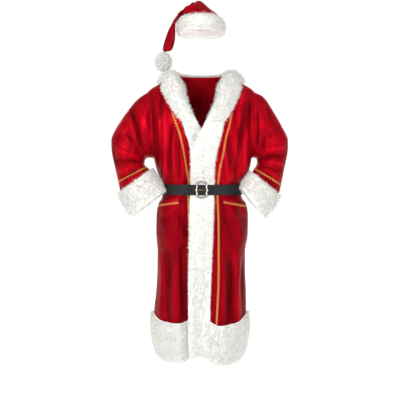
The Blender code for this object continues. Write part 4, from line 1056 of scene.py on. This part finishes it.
def pile_object(
    name, points, normals, comb, length, per_m2, seed,
    closed=False, short=None, lean=0.9, width=0.0019,
):
    """Blades on a grid, where the chance of a cell is its area.

    A blade's middle is its root plus half its length along the normal bent a little to the comb, and its tip
    goes on from there by as much again, bent further and towards its tuft. short shortens it by place.
    """
    if closed:
        points, normals, comb = (np.concatenate([g, g[:, :1]], 1) for g in (points, normals, comb))
        short = None if short is None else np.concatenate([short, short[:, :1]], 1)
    rng = np.random.default_rng(seed)
    p00, p01, p10, p11 = points[:-1, :-1], points[:-1, 1:], points[1:, :-1], points[1:, 1:]
    area = np.linalg.norm(np.cross(p11 - p00, p10 - p01), axis=2) / 2
    count = int(area.sum() * per_m2 * (1.0))
    cell = rng.choice(area.size, count, p=(area / area.sum()).ravel())
    r, c = np.unravel_index(cell, area.shape)
    u, v = rng.random(count), rng.random(count)

    def pick(grid):
        """The grid's value at each blade's place in its cell, even between the cell's four corners."""
        grid = grid if grid.ndim == 3 else grid[..., None]
        a = grid[r, c] * (1 - u[:, None]) + grid[r, c + 1] * u[:, None]
        b = grid[r + 1, c] * (1 - u[:, None]) + grid[r + 1, c + 1] * u[:, None]
        return a * (1 - v[:, None]) + b * v[:, None]

    root, out, lie = pick(points), unit(pick(normals)), pick(comb)
    long = length * (0.72 + 0.5 * rng.random(count))
    if short is not None:
        long = long * pick(short)[:, 0]
    # tufts: a scattered middle in each cell of space; a blade leans towards the nearest one
    home = np.floor(root / TUFT)
    best, nearest = np.full(count, 1e9), np.zeros((count, 3))
    for dx in (-1, 0, 1):
        for dy in (-1, 0, 1):
            for dz in (-1, 0, 1):
                h = home + (dx, dy, dz)
                jitter = np.sin(h @ SCATTER) * 43758.5
                middle = (h + jitter - np.floor(jitter)) * TUFT
                away = ((middle - root) ** 2).sum(1)
                nearest = np.where((away < best)[:, None], middle, nearest)
                best = np.minimum(best, away)
    pull = nearest - root
    pull = pull - out * (pull * out).sum(1, keepdims=True)
    stray = rng.normal(0, 0.30, (count, 3))
    first = unit(out + 0.35 * lean * lie + 0.5 * stray)
    second = unit(0.75 * out + lean * lie + stray + pull / TUFT * 0.9)
    flat = unit(np.cross(first, out) + rng.normal(0, 0.45, (count, 3)))
    half = (width * (0.7 + 0.6 * rng.random(count)) / 2)[:, None]
    mid = root + first * (long * 0.5)[:, None]
    tip = mid + second * (long * 0.55)[:, None]
    wide, narrow = flat * half, flat * half * 0.8
    verts = np.stack([root - wide, root + wide, mid + narrow, mid - narrow, tip], 1)
    base = np.arange(count, dtype=np.int32)[:, None] * 5
    obj = mesh_of(name, verts.reshape(-1, 3), base + np.array([0, 1, 2, 3]), base + np.array([3, 2, 4]))
    # pile is 0 at a blade's root, 0.6 at its middle and 1 at its tip; the fibre material paints shade towards
    # the root by it
    depth = obj.data.attributes.new("pile", "FLOAT", "POINT")
    depth.data.foreach_set("value", np.tile([0.0, 0.0, 0.6, 0.6, 1.0], count).astype(np.float32))
    soft = unit(out + second * 0.35 + 0.10 * stray)
    obj.data.normals_split_custom_set_from_vertices(np.repeat(soft, 5, axis=0))
    obj.data.materials.append(FIBRE)
    return finish_piece(obj, "white_plush")


def towards(points, normals, direction):
    """The direction's part along the surface, as unit arrows."""
    d = np.broadcast_to(np.asarray(direction, float), points.shape)
    return unit(d - normals * (d * normals).sum(-1, keepdims=True))


def with_edges(comb, points, share_u=None, share_v=None, strength=1.1):
    """The comb turned outwards near the edges of the grid, so that the pile hides them."""
    rows, columns = points.shape[:2]
    du, dv = unit(np.gradient(points, axis=1)), unit(np.gradient(points, axis=0))
    if share_u is not None:
        u = np.linspace(0, 1, columns)[None, :, None]
        ends = smoothstep((u - 1 + share_u) / share_u) - smoothstep((share_u - u) / share_u)
        comb = comb + strength * du * ends
    if share_v is not None:
        v = np.linspace(0, 1, rows)[:, None, None]
        ends = smoothstep((v - 1 + share_v) / share_v) - smoothstep((share_v - v) / share_v)
        comb = comb + strength * dv * ends
    return comb


def plush_piece(
    node, points, normals, comb, length, seed,
    closed=False, short=None, thick=0.004, rests_on=None,
):
    """A ground sheet with its pile of the given length."""
    ground = sheet_object("plush_" + node, points, normals, thick, PLUSH, closed)
    finish_piece(ground, "white_plush", node)
    pile = pile_object("pile_" + node, points, normals, comb, length, PILE_PER_M2, seed, closed, short)
    rests_on = rests_on or ["wearer_neck"]
    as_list(rests_on)
    print(node, "ground area", round(cloth_area(ground), 4), "blades", len(pile.data.polygons) // 2)


# %% [markdown]
# ## Front bands
# Each front ends in a plush band from the collar to the hem's bottom; the left one lies over the right one.
# The pile is pressed flat under the belt and clipped short beside the buckle and where the left band covers
# the right one, because long blades there would stand through the strap.


# %% Front bands
def band(side, rows, columns):
    """The trunk between the band's two edge lines, a little proud and crowned by the root of a half sine."""
    z = np.linspace(HEM_BOTTOM, BAND_TOP, rows)
    across = np.linspace(0, 1, columns)[None, :]
    low = np.minimum(z, COLLAR_SEAM - 0.0001)
    near, far = column(BANDS, 1 if side > 0 else 3, z)[:, None], seam_x(side, low)[:, None]
    x = near + (far - side * 0.001 - near) * across
    z2 = z[:, None] + 0 * x
    belt = smoothstep((np.abs(z2 - BELT_Z) - 0.026) / 0.03)
    height = 0.0008 + 0.0022 * belt * np.sin(np.pi * across) ** 0.5 + 0.0034 * smoothstep((z2 + 0.215) / 0.05)
    return (*on_trunk(angle_at(x, z2), z2, height, 0.0 if side > 0 else UNDER), x, z2)


for side, word in ((1, "left"), (-1, "right")):
    points, normals, x, z2 = band(side, 110, 10)
    comb = with_edges(0.55 * towards(points, normals, (0, 0, -1)), points, share_u=0.22, strength=1.3)
    pressed = smoothstep((np.abs(z2 - BELT_Z) - 0.024) / 0.022)
    near_buckle = np.hypot(x - BUCKLE_X, z2 - BELT_Z)
    short = (0.16 + 0.84 * pressed) * (0.45 + 0.55 * smoothstep((near_buckle - 0.038) / 0.014))
    if side < 0:
        hidden = smoothstep((column(BANDS, 1, z2) + 0.030 - x) / 0.03)
        short = short * (0.35 + 0.65 * hidden)
    plush_piece(
        "fur_front_" + word, points, normals, comb, 0.0125, 11 + side,
        short=short, thick=0.003,
    )

# %% [markdown]
# ## Hem
# The deep plush hem goes from one front band round the back to the other. Its two front lobes hang lower than
# its sides, as the trunk's hem table says. It is one grid with its own slight swell, as thick fur cloth has.


# %% Hem
def hem_grid(rows, columns):
    """The trunk from the left band's seam round to the right one's, swollen by the root of a half sine."""
    share = np.linspace(0, 1, rows)[:, None]
    z = HEM_TOP + share * (HEM_BOTTOM - HEM_TOP)
    first, last = angle_at(seam_x(1, z) + SEAM, z), 360 + angle_at(seam_x(-1, z) - SEAM, z)
    angles = first + (last - first) * np.linspace(0, 1, columns)[None, :]
    swell = 0.0015 + 0.0055 * np.sin(np.pi * np.clip(share, 0.02, 1)) ** 0.5
    swell = swell * smoothstep((360 + angle_at(-0.075 + 0 * z, z) - angles) / 12)
    return on_trunk(angles, z + 0 * angles, swell + 0.0005, np.where(angles > 270, UNDER, 0.0))


points, normals = hem_grid(20, 160)
comb = with_edges(0.7 * towards(points, normals, (0, 0, -1)), points, share_v=0.12, strength=0.9)
COAT = ["coat_back", "coat_front_left", "coat_front_right"]
plush_piece("fur_hem", points, normals, comb, 0.0165, 21, rests_on=COAT)

# %% [markdown]
# ## Cuffs
# A cuff is a straight strip of the same plush, sewn on below the braid. It is the end of the sleeve's tube,
# swollen a little, and its pile is combed outwards along the arm and over the open end.

# %% Cuffs
for side, word in ((1, "left"), (-1, "right")):
    at = np.linspace(CUFF_AT + 0.015, CUFF_END, 16)[:, None]
    share = (at - CUFF_AT) / (CUFF_END - CUFF_AT)
    points, normals = on_sleeve(side, TURNS, at, 0.002 + 0.004 * np.sin(np.pi * share) ** 0.6)
    outwards = unit(np.gradient(points, axis=0))
    comb = with_edges(0.6 * outwards, points, share_v=0.12, strength=0.8)
    arm = ["sleeve_" + word]
    plush_piece(
        "cuff_" + word, points, normals, comb, 0.0165, 31 + side,
        closed=True, rests_on=arm,
    )


# %% [markdown]
# ## Collar
# The shawl collar grows out of the two bands, widens over the shoulders and lies round the neck as a soft
# roll. It could be a bent tube, but a real one is a flat strip that stands away from the coat only in its
# middle. So it is a strip on the coat's surface between an inner and an outer line, lifted along its middle
# by a half sine.


# %% Collar
def collar_stations(corner):
    """Rows of inner angle and height, outer angle and height, lift and rise, from one corner to the back."""
    rows = []
    for _, inner_x, inner_z, outer_x, outer_z, lift, rise in corner:
        inner, outer = float(angle_at(inner_x, inner_z)), float(angle_at(outer_x, outer_z))
        rows.append((inner, inner_z, outer, outer_z, lift, rise))
    for angle, inner_z, outer_z, lift, rise in COLLAR_ROUND:
        rows.append((angle, inner_z, angle, outer_z, lift, rise))
    return np.array(rows)


def collar_grid(stations, columns):
    """The trunk between the collar's inner and outer lines, plus lift times the sine across the strip."""
    half = collar_stations(COLLAR_LEFT)
    other = collar_stations(COLLAR_RIGHT)[-2::-1].copy()
    other[:, [0, 2]] = 360 - other[:, [0, 2]]
    table = np.concatenate([half, other])
    # distance along the outer line, with a degree taken as 3.5 mm
    steps = np.diff(table[:, [2, 3]], axis=0) * [0.0035, 1]
    key = np.concatenate([[0], np.cumsum(np.hypot(*steps.T))])
    at = np.interp(np.linspace(0, len(key) - 1, stations), np.arange(len(key)), key)
    rows = np.stack([smooth_curve(key, table[:, i], at) for i in range(6)], 1)
    v = np.linspace(0, 1, columns)[None, :]
    angle = rows[:, [0]] + (rows[:, [2]] - rows[:, [0]]) * v
    z = rows[:, [1]] + (rows[:, [3]] - rows[:, [1]]) * v
    from_end = np.minimum(np.arange(stations), np.arange(stations)[::-1])[:, None] / stations
    edge = 0.0066 + 0.0030 * smoothstep(from_end / 0.06)
    neck = smoothstep((from_end - 0.10) / 0.12) * (1 - smoothstep(v / 0.25))
    base = edge - (edge - 0.0026) * neck + rows[:, [4]] * np.sin(np.pi * v**1.1)
    points, normals = on_trunk(angle, z, base)
    points[..., 2] += rows[:, [5]] * np.sin(np.pi * v**0.8)
    n = unit(np.cross(np.gradient(points, axis=0), np.gradient(points, axis=1)))
    return points, n * np.sign((n * normals).sum())


points, normals = collar_grid(110, 16)
comb = with_edges(0.5 * unit(np.gradient(points, axis=1)), points, share_u=0.16, share_v=0.045, strength=0.9)
plush_piece(
    "fur_collar", points, normals, comb, 0.0160, 41, thick=0.0024, rests_on=COAT
)

# %% [markdown]
# ## Hat
# The real crown is two long triangles sewn to a cone, and its tip falls over to one side by its own weight.
# Bending a cone would pinch it, so its sections turn over instead: each one runs between a point on the left
# line and a point on the right line, and the last ones hang beside the band, drawn in to the pompom.


# %% Hat crown
def hat(turn, at):
    """Middle of the section plus half its span times cos(turn), and its half depth times sin(turn) in y."""
    keys = np.arange(len(HAT))
    turn, at = np.broadcast_arrays(np.asarray(turn, float), np.asarray(at, float))
    lx, lz, rx, rz, depth, y0 = (smooth_curve(keys, [row[k] for row in HAT], at) for k in range(1, 7))
    c, s = np.cos(np.radians(turn)), np.sin(np.radians(turn))
    x, z = (rx + lx) / 2 + (rx - lx) / 2 * c, (rz + lz) / 2 + (rz - lz) / 2 * c
    return np.stack([x, y0 - depth * s, z], -1)


at = np.linspace(0, len(HAT) - 1, 76)[:, None]
# seven soft gathers run up the crown and turn with it; shallow creases cross it where it folds over
round_it = np.radians(TURNS)
gathers = 0.0028 * np.sin(round_it * 7 + 1.5 * at) * smoothstep((at - 1.2) / 1.5)
gathers = gathers * smoothstep((9.6 - at) / 1.5)
creases = 0.0018 * np.sin(at * 4.2 + round_it * 2) * smoothstep((at - 2.5) / 1.0)
creases = creases * smoothstep((7.5 - at) / 1.5)
points, normals = on_tube(hat, len(HAT) - 1, TURNS, at, gathers + creases - 0.0022)
piece = sheet_object("velour_hat_crown", points, normals, CLOTH, VELOUR, closed=True)
finish_piece(piece, "red_velour", "hat_crown")
print("hat crown area", round(cloth_area(piece), 4))

# %% [markdown]
# ## Hat band and pompom
# The band is a broad ring of plush, a little higher in front than at the sides. The pompom is a ball of the
# same fibre round a padded core, with much denser and finer pile than the trim, so that its core never shows.

# %% Hat band and pompom
angles = np.linspace(0, 360, 96, endpoint=False)[None, :]
share = np.linspace(0, 1, 14)[:, None]
low, top = column(HAT_BAND, 1, angles) + 0.005, column(HAT_BAND, 2, angles) - 0.009
a, z = np.radians(angles), low + (top - low) * share
inset = 0.0095 - 0.005 * np.sin(np.pi * share) ** 0.7
points = np.stack([(HAT_BAND_RX - inset) * np.sin(a), -(HAT_BAND_RY - inset) * np.cos(a), z + 0 * a], -1)
tilt = 0.35 * np.cos(np.pi * (1 - share))
normals = unit(np.stack([np.sin(a) + 0 * z, -np.cos(a) + 0 * z, tilt + 0 * z], -1))
comb = with_edges(0.35 * towards(points, normals, (0, 0, -1)), points, share_v=0.2, strength=0.9)
plush_piece("hat_band", points, normals, comb, 0.0150, 51, closed=True)

turns, rise = np.linspace(0, 360, 48, endpoint=False)[None, :], np.linspace(4, 176, 28)[:, None]
a, b = np.radians(turns), np.radians(rise)
normals = np.stack([np.sin(b) * np.sin(a), -np.sin(b) * np.cos(a), np.cos(b) + 0 * a], -1)
core = np.array([0.027, 0.027, 0.032])
points = normals * core + np.array(POMPOM)
core_piece = sheet_object("pompom_core", points, normals, 0, PLUSH, closed=True)
finish_piece(core_piece, "white_plush", "hat_pompom")
down = np.broadcast_to(np.array([0, 0, -0.25]), points.shape)
POMPOM_PER_M2 = 900000
pile_object(
    "pile_pompom", points, normals, down, 0.0170, POMPOM_PER_M2, 61, closed=True, lean=0.6, width=0.0017
)
print("pompom core", [round(float(2 * r), 3) for r in core])

# %% [markdown]
# ## Strap
# The strap starts behind the buckle, goes once round, and passes over the buckle's round frame and behind its
# two bars to its free end. Its line is the coat's own plan at the belt's height, moved out by the layers
# under it, and a small section with a raised rib at each edge sweeps along it. As one sweep, its two layers
# lie at their right distance where they pass each other.


# %% Strap
def belt_line(x, layer):
    """Height of the strap's inner face over the coat: layer 0 lies on it, 1 climbs over the buckle's frame.

    The climb is a smooth step up to the second layer, plus a bell at the frame's rim that stays high inside.
    """
    if layer == 0:
        return BELT_CLEAR + 0 * x
    from_rim = np.abs(x - BUCKLE_X) - BUCKLE_R
    ridge = np.exp(-((from_rim / 0.010) ** 2)) + (from_rim < 0)
    return BELT_CLEAR + smoothstep((0.085 - x) / 0.036) * (0.0036 + 0.0068 * np.clip(ridge, 0, 1))


def strap_object():
    """The trunk's plan at the belt plus the layer's height along its level normal, once round and on."""
    start, end = float(angle_at(-0.020, BELT_Z)), float(angle_at(-0.112, BELT_Z))
    angles = np.concatenate([np.linspace(start, -288.0, 220), np.linspace(-289.0, -360 + end, 180)])
    facing = (angles + 180) % 360 - 180
    plan = trunk(facing, BELT_Z + 0 * angles)
    x = plan[:, 0]
    near = np.where(np.arange(len(x)) < 220, belt_line(x, 0), belt_line(x, 1))
    kernel = np.ones(5) / 5
    near = np.convolve(np.pad(near, 2, mode="edge"), kernel, "valid")
    n = trunk_normal(facing, BELT_Z + 0 * angles)
    n[:, 2] = 0
    n = unit(n)
    # half of the section, as (height over the middle, depth) in shares; the other half mirrors it
    upper = [(0.42, 0.9), (0.445, 0.86), (0.455, 1.0), (0.485, 1.0), (0.5, 0.85), (0.5, 0.1), (0.48, 0.0)]
    upper = np.array(upper)
    rim = np.concatenate([upper[-2::-1] * [-1, 1], upper, upper[-1:] * [-1, 1]])
    taper = np.ones(len(x))
    taper[-14:] = np.sqrt(np.clip(1 - (np.arange(14) / 13.2) ** 2.2, 0.02, 1))
    z = BELT_Z + BELT_HEIGHT * rim[None, :, 0] * taper[:, None]
    depth = near[:, None] + BELT_THICK * rim[None, :, 1]
    xy = plan[:, None, :2] + n[:, None, :2] * depth[..., None]
    points = np.concatenate([xy, z[..., None]], -1)
    out = points - points.mean(1, keepdims=True)
    obj = mesh_of("strap", points.reshape(-1, 3), grid_quads(points, out, closed=True))
    obj.data.materials.append(STRAP)
    edge = obj.modifiers.new("soft_edges", "BEVEL")
    edge.width, edge.segments, edge.limit_method = 0.0003, 1, "ANGLE"
    print("strap length", round(float(np.linalg.norm(np.diff(xy.mean(1), axis=0), axis=1).sum()), 3))
    return finish_piece(obj, "black_belt", "belt")


strap_object()


# %% [markdown]
# ## Keeper
# A narrow loop of the strap's own material holds the free end down. It goes round both layers as a slot with
# nearly square corners, which a power under 1 on the sine and the cosine gives without any bevel.


# %% Keeper
def keeper_object():
    """A loop round both layers: half depth times cos^0.22 and half height times sin^0.22, signs kept."""
    x0, wide = -0.066, 0.014
    face_y = float(trunk(float(angle_at(x0, BELT_Z)), BELT_Z)[1])
    turn = np.linspace(0, 2 * np.pi, 64, endpoint=False)
    tall, back, face = BELT_HEIGHT / 2 + 0.0016, 0.0012, 0.0158
    square = lambda v: np.sign(v) * np.abs(v) ** 0.22
    h = (back + face) / 2 + (face - back) / 2 * square(np.cos(turn))
    dz = tall * square(np.sin(turn))
    across = np.linspace(-0.5, 0.5, 7)
    bow = 0.0004 * (1 - (2 * across) ** 4)
    x = x0 + wide * across[:, None] + 0 * turn
    points = np.stack([x, face_y - h[None] - bow[:, None] * np.cos(turn), BELT_Z + dz[None] + 0 * x], -1)
    out = np.stack([0 * x, -np.cos(turn) + 0 * x, np.sin(turn) + 0 * x], -1)
    obj = sheet_object("keeper_loop", points, out, 0.0012, STRAP, closed=True)
    print("keeper", round(2 * tall, 4), "high", round(face - back, 4), "deep")
    return finish_piece(obj, "black_belt", "belt_keeper")


keeper_object()


# %% [markdown]
# ## Buckle
# The buckle is a cast round frame with an openwork rim, and two waved bars that the strap passes behind. Each
# part is a rod with an oval section swept along a path, or a row of small beads. They could be boxes and tori
# joined by Booleans, but swept rods give the soft cast edges at once. All of them join into one mesh, each
# with its own plating.


# %% Buckle
def rod(path, across, wide, deep, closed=False, sides=10):
    """The path plus across times wide times cos, plus the front's arrow times deep times sin: an oval rod."""
    turn = np.linspace(0, 2 * np.pi, sides, endpoint=False)[None, :, None]
    wide = np.broadcast_to(wide, len(path))[:, None, None]
    section = across[:, None] * np.cos(turn) * wide + np.array([0, -1.0, 0]) * np.sin(turn) * deep
    points = path[:, None] + section
    if closed:
        points, section = np.concatenate([points, points[:1]]), np.concatenate([section, section[:1]])
    return points.reshape(-1, 3), grid_quads(points, section, closed=True)


def circle(radius, y, count=144):
    """(points, rays): the buckle's middle plus the ray at each turn times its radius."""
    turn = np.linspace(0, 2 * np.pi, count, endpoint=False)
    ray = np.stack([np.sin(turn), 0 * turn, np.cos(turn)], 1)
    middle = np.array([BUCKLE_X, y, BELT_Z])
    return middle + ray * np.broadcast_to(radius, turn.shape)[:, None], ray


def beads_on(path, radius, sides=8, levels=5):
    """Small balls at the points of a path: one ball of rings sin(rise) wide, added to every point at once."""
    turn = np.linspace(0, 2 * np.pi, sides, endpoint=False)
    rise = np.linspace(0.12, np.pi - 0.12, levels)[:, None]
    ring = np.sin(rise)
    ball = np.stack([ring * np.cos(turn), -np.cos(rise) + 0 * turn, ring * np.sin(turn)], -1)
    quads = grid_quads(ball, ball, closed=True)
    points = path[:, None] + ball.reshape(-1, 3) * radius
    first_corner = np.arange(len(path))[:, None, None] * sides * levels
    return points.reshape(-1, 3), (quads[None] + first_corner).reshape(-1, 4)


front_y = float(trunk(0.0, BELT_Z)[1])
# the frame stands 0.8 mm in front of the strap's first layer, and its half depth is the last term
ring_y = front_y - BELT_CLEAR - BELT_THICK - 0.0008 - 0.0033 * 0.78
strap_face = front_y - float(belt_line(np.array([BUCKLE_X]), 1)[0]) - BELT_THICK
metal = []
for radius, wire in ((0.0404, 0.0014), (0.0338, 0.0013)):
    path, ray = circle(radius, ring_y)
    metal.append((*rod(path, ray, wire, 0.0024, closed=True), 0))
turn = np.linspace(0, 2 * np.pi, 288, endpoint=False)
path, ray = circle(0.0371 + 0.0022 * np.cos(26 * turn), ring_y - 0.0006, 288)
metal.append((*rod(path, ray, 0.0007, 0.0010, closed=True, sides=6), 0))
metal.append((*beads_on(circle(0.0371, ring_y - 0.0008, 26)[0], 0.0012), 1))
metal.append((*beads_on(circle(0.0404, ring_y - 0.0012, 52)[0], 0.0016), 0))
# each bar bows out, in and out again, and dips from the frame to the strap's face
t = np.linspace(-1, 1, 60)
for side in (-1, 1):
    x = BUCKLE_X + side * (0.0240 + 0.0022 * np.cos(2 * np.pi * t) + 0.0038 * np.abs(t) ** 6)
    y = ring_y + (strap_face - 0.0028 - ring_y) * smoothstep((1 - np.abs(t)) / 0.16)
    path = np.stack([x, y, BELT_Z + t * 0.0312], 1)
    across = unit(np.cross(unit(np.gradient(path, axis=0)), [0, 1.0, 0]))
    metal.append((*rod(path, across, 0.0026 + 0.0006 * np.cos(4 * np.pi * t), 0.0020), 1))
t = np.linspace(0, 1, 30)
# the prong lies across the strap's face, bowed a little and thinner towards its point
prong_y = strap_face - 0.0024 - 0.0016 * np.sin(np.pi * t)
path = np.stack([BUCKLE_X - 0.022 + 0.046 * t, prong_y, BELT_Z + 0 * t], 1)
metal.append((*rod(path, np.broadcast_to([0, 0, 1.0], path.shape), 0.0024 * (1 - 0.4 * t), 0.0016), 2))
starts = np.cumsum([0] + [len(points) for points, _, _ in metal[:-1]])
every_quad = np.concatenate([quads + start for (_, quads, _), start in zip(metal, starts)])
buckle = mesh_of("buckle_plate", np.concatenate([points for points, _, _ in metal]), every_quad)
for plate in (FILIGREE, BRIGHT, BRASS):
    buckle.data.materials.append(plate)
which = np.concatenate([np.full(len(quads), slot) for _, quads, slot in metal]).astype(np.int32)
buckle.data.polygons.foreach_set("material_index", which)
finish_piece(buckle, "buckle_metal", "buckle")
print("buckle faces", len(buckle.data.polygons))

# %% [markdown]
# ## Stage, lights and camera
# A catalogue shot wants an even white room. A wall behind the suit would hide its back from a camera that
# goes round it, so there is only a pale floor under a white sky. One large soft light stands in front to the
# wearer's right, a weaker one to the left, one above and two behind.

# %% Stage
bpy.ops.mesh.primitive_circle_add(vertices=96, radius=9.0, fill_type="NGON", location=(0, 0, -1.475))
floor = bpy.context.object
floor.name = "pale_floor"
paper, nodes, links, shader = new_material("pale_paper")
shader.inputs["Base Color"].default_value = (0.93, 0.93, 0.93, 1.0)
shader.inputs["Roughness"].default_value = 0.9
shader.inputs["Emission Color"].default_value = (1.0, 1.0, 1.0, 1.0)
shader.inputs["Emission Strength"].default_value = 0.62
floor.data.materials.append(paper)
floor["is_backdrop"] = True


def area_light(name, place, aim, size, power):
    """A square light of that size in metres and power in watts, turned from its place to its aim."""
    data = bpy.data.lights.new(name, "AREA")
    data.shape, data.size, data.energy = "SQUARE", size, power
    light = bpy.data.objects.new(name, data)
    light.location = place
    light.rotation_euler = (Vector(aim) - Vector(place)).to_track_quat("-Z", "Y").to_euler()
    bpy.context.scene.collection.objects.link(light)
    print(name, power, "W,", round((Vector(aim) - Vector(place)).length, 2), "m away")


area_light("key", (-2.4, -4.8, 1.0), (0, 0, -0.5), 1.6, 190)
area_light("fill", (3.0, -4.6, 0.2), (0, 0, -0.6), 2.0, 80)
area_light("top", (0.0, -0.8, 3.0), (0, 0, -0.3), 2.0, 25)
area_light("back_left", (-2.0, 5.0, 1.4), (0, 0, -0.4), 2.0, 50)
area_light("back_right", (2.0, 5.0, 1.0), (0, 0, -0.4), 2.0, 25)
world = bpy.data.worlds.new("studio")
world.use_nodes = True
nodes, links = world.node_tree.nodes, world.node_tree.links
# the room lights the suit at a little over half of the white that is seen behind it
ray = nodes.new("ShaderNodeLightPath")
seen = nodes.new("ShaderNodeMapRange")
seen.inputs["To Min"].default_value, seen.inputs["To Max"].default_value = 0.55, 1.02
links.new(ray.outputs["Is Camera Ray"], seen.inputs["Value"])
links.new(seen.outputs["Result"], nodes["Background"].inputs["Strength"])
nodes["Background"].inputs["Color"].default_value = (1, 1, 1, 1)
bpy.context.scene.world = world
bpy.context.scene.view_settings.view_transform = "Standard"

# %% [markdown]
# ## Camera
# It stands five metres away, a little above the middle and looking almost level, with a lens long enough to
# keep the hem and the hat at the same scale.

# %% Camera
camera_data = bpy.data.cameras.new("camera")
camera_data.lens, camera_data.sensor_width = 96.5, 36.0
camera = bpy.data.objects.new("camera", camera_data)
camera.location = (-0.005, -5.2, -0.37)
camera.rotation_euler = (Vector((-0.005, 0, -0.543)) - camera.location).to_track_quat("-Z", "Y").to_euler()
bpy.context.scene.collection.objects.link(camera)
bpy.context.scene.camera = camera
print("camera", [round(v, 2) for v in camera.location], "lens", camera_data.lens)

# %% [markdown]
# ## Measure and finish
# The finished pieces' box is measured, kept in sizes beside the plain solids' box, and printed. The
# finished pieces must stay near the plain solids' box.

# %% Measure and finish
low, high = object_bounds()
sizes = {"cad": [list(cad_low), list(cad_high)], "visual": [list(low), list(high)]}
total = sum(len(p.vertices) - 2 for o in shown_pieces() for p in o.data.polygons)
print("visual box", [round(v, 3) for v in low], [round(v, 3) for v in high])
print("triangles before modifiers", total)
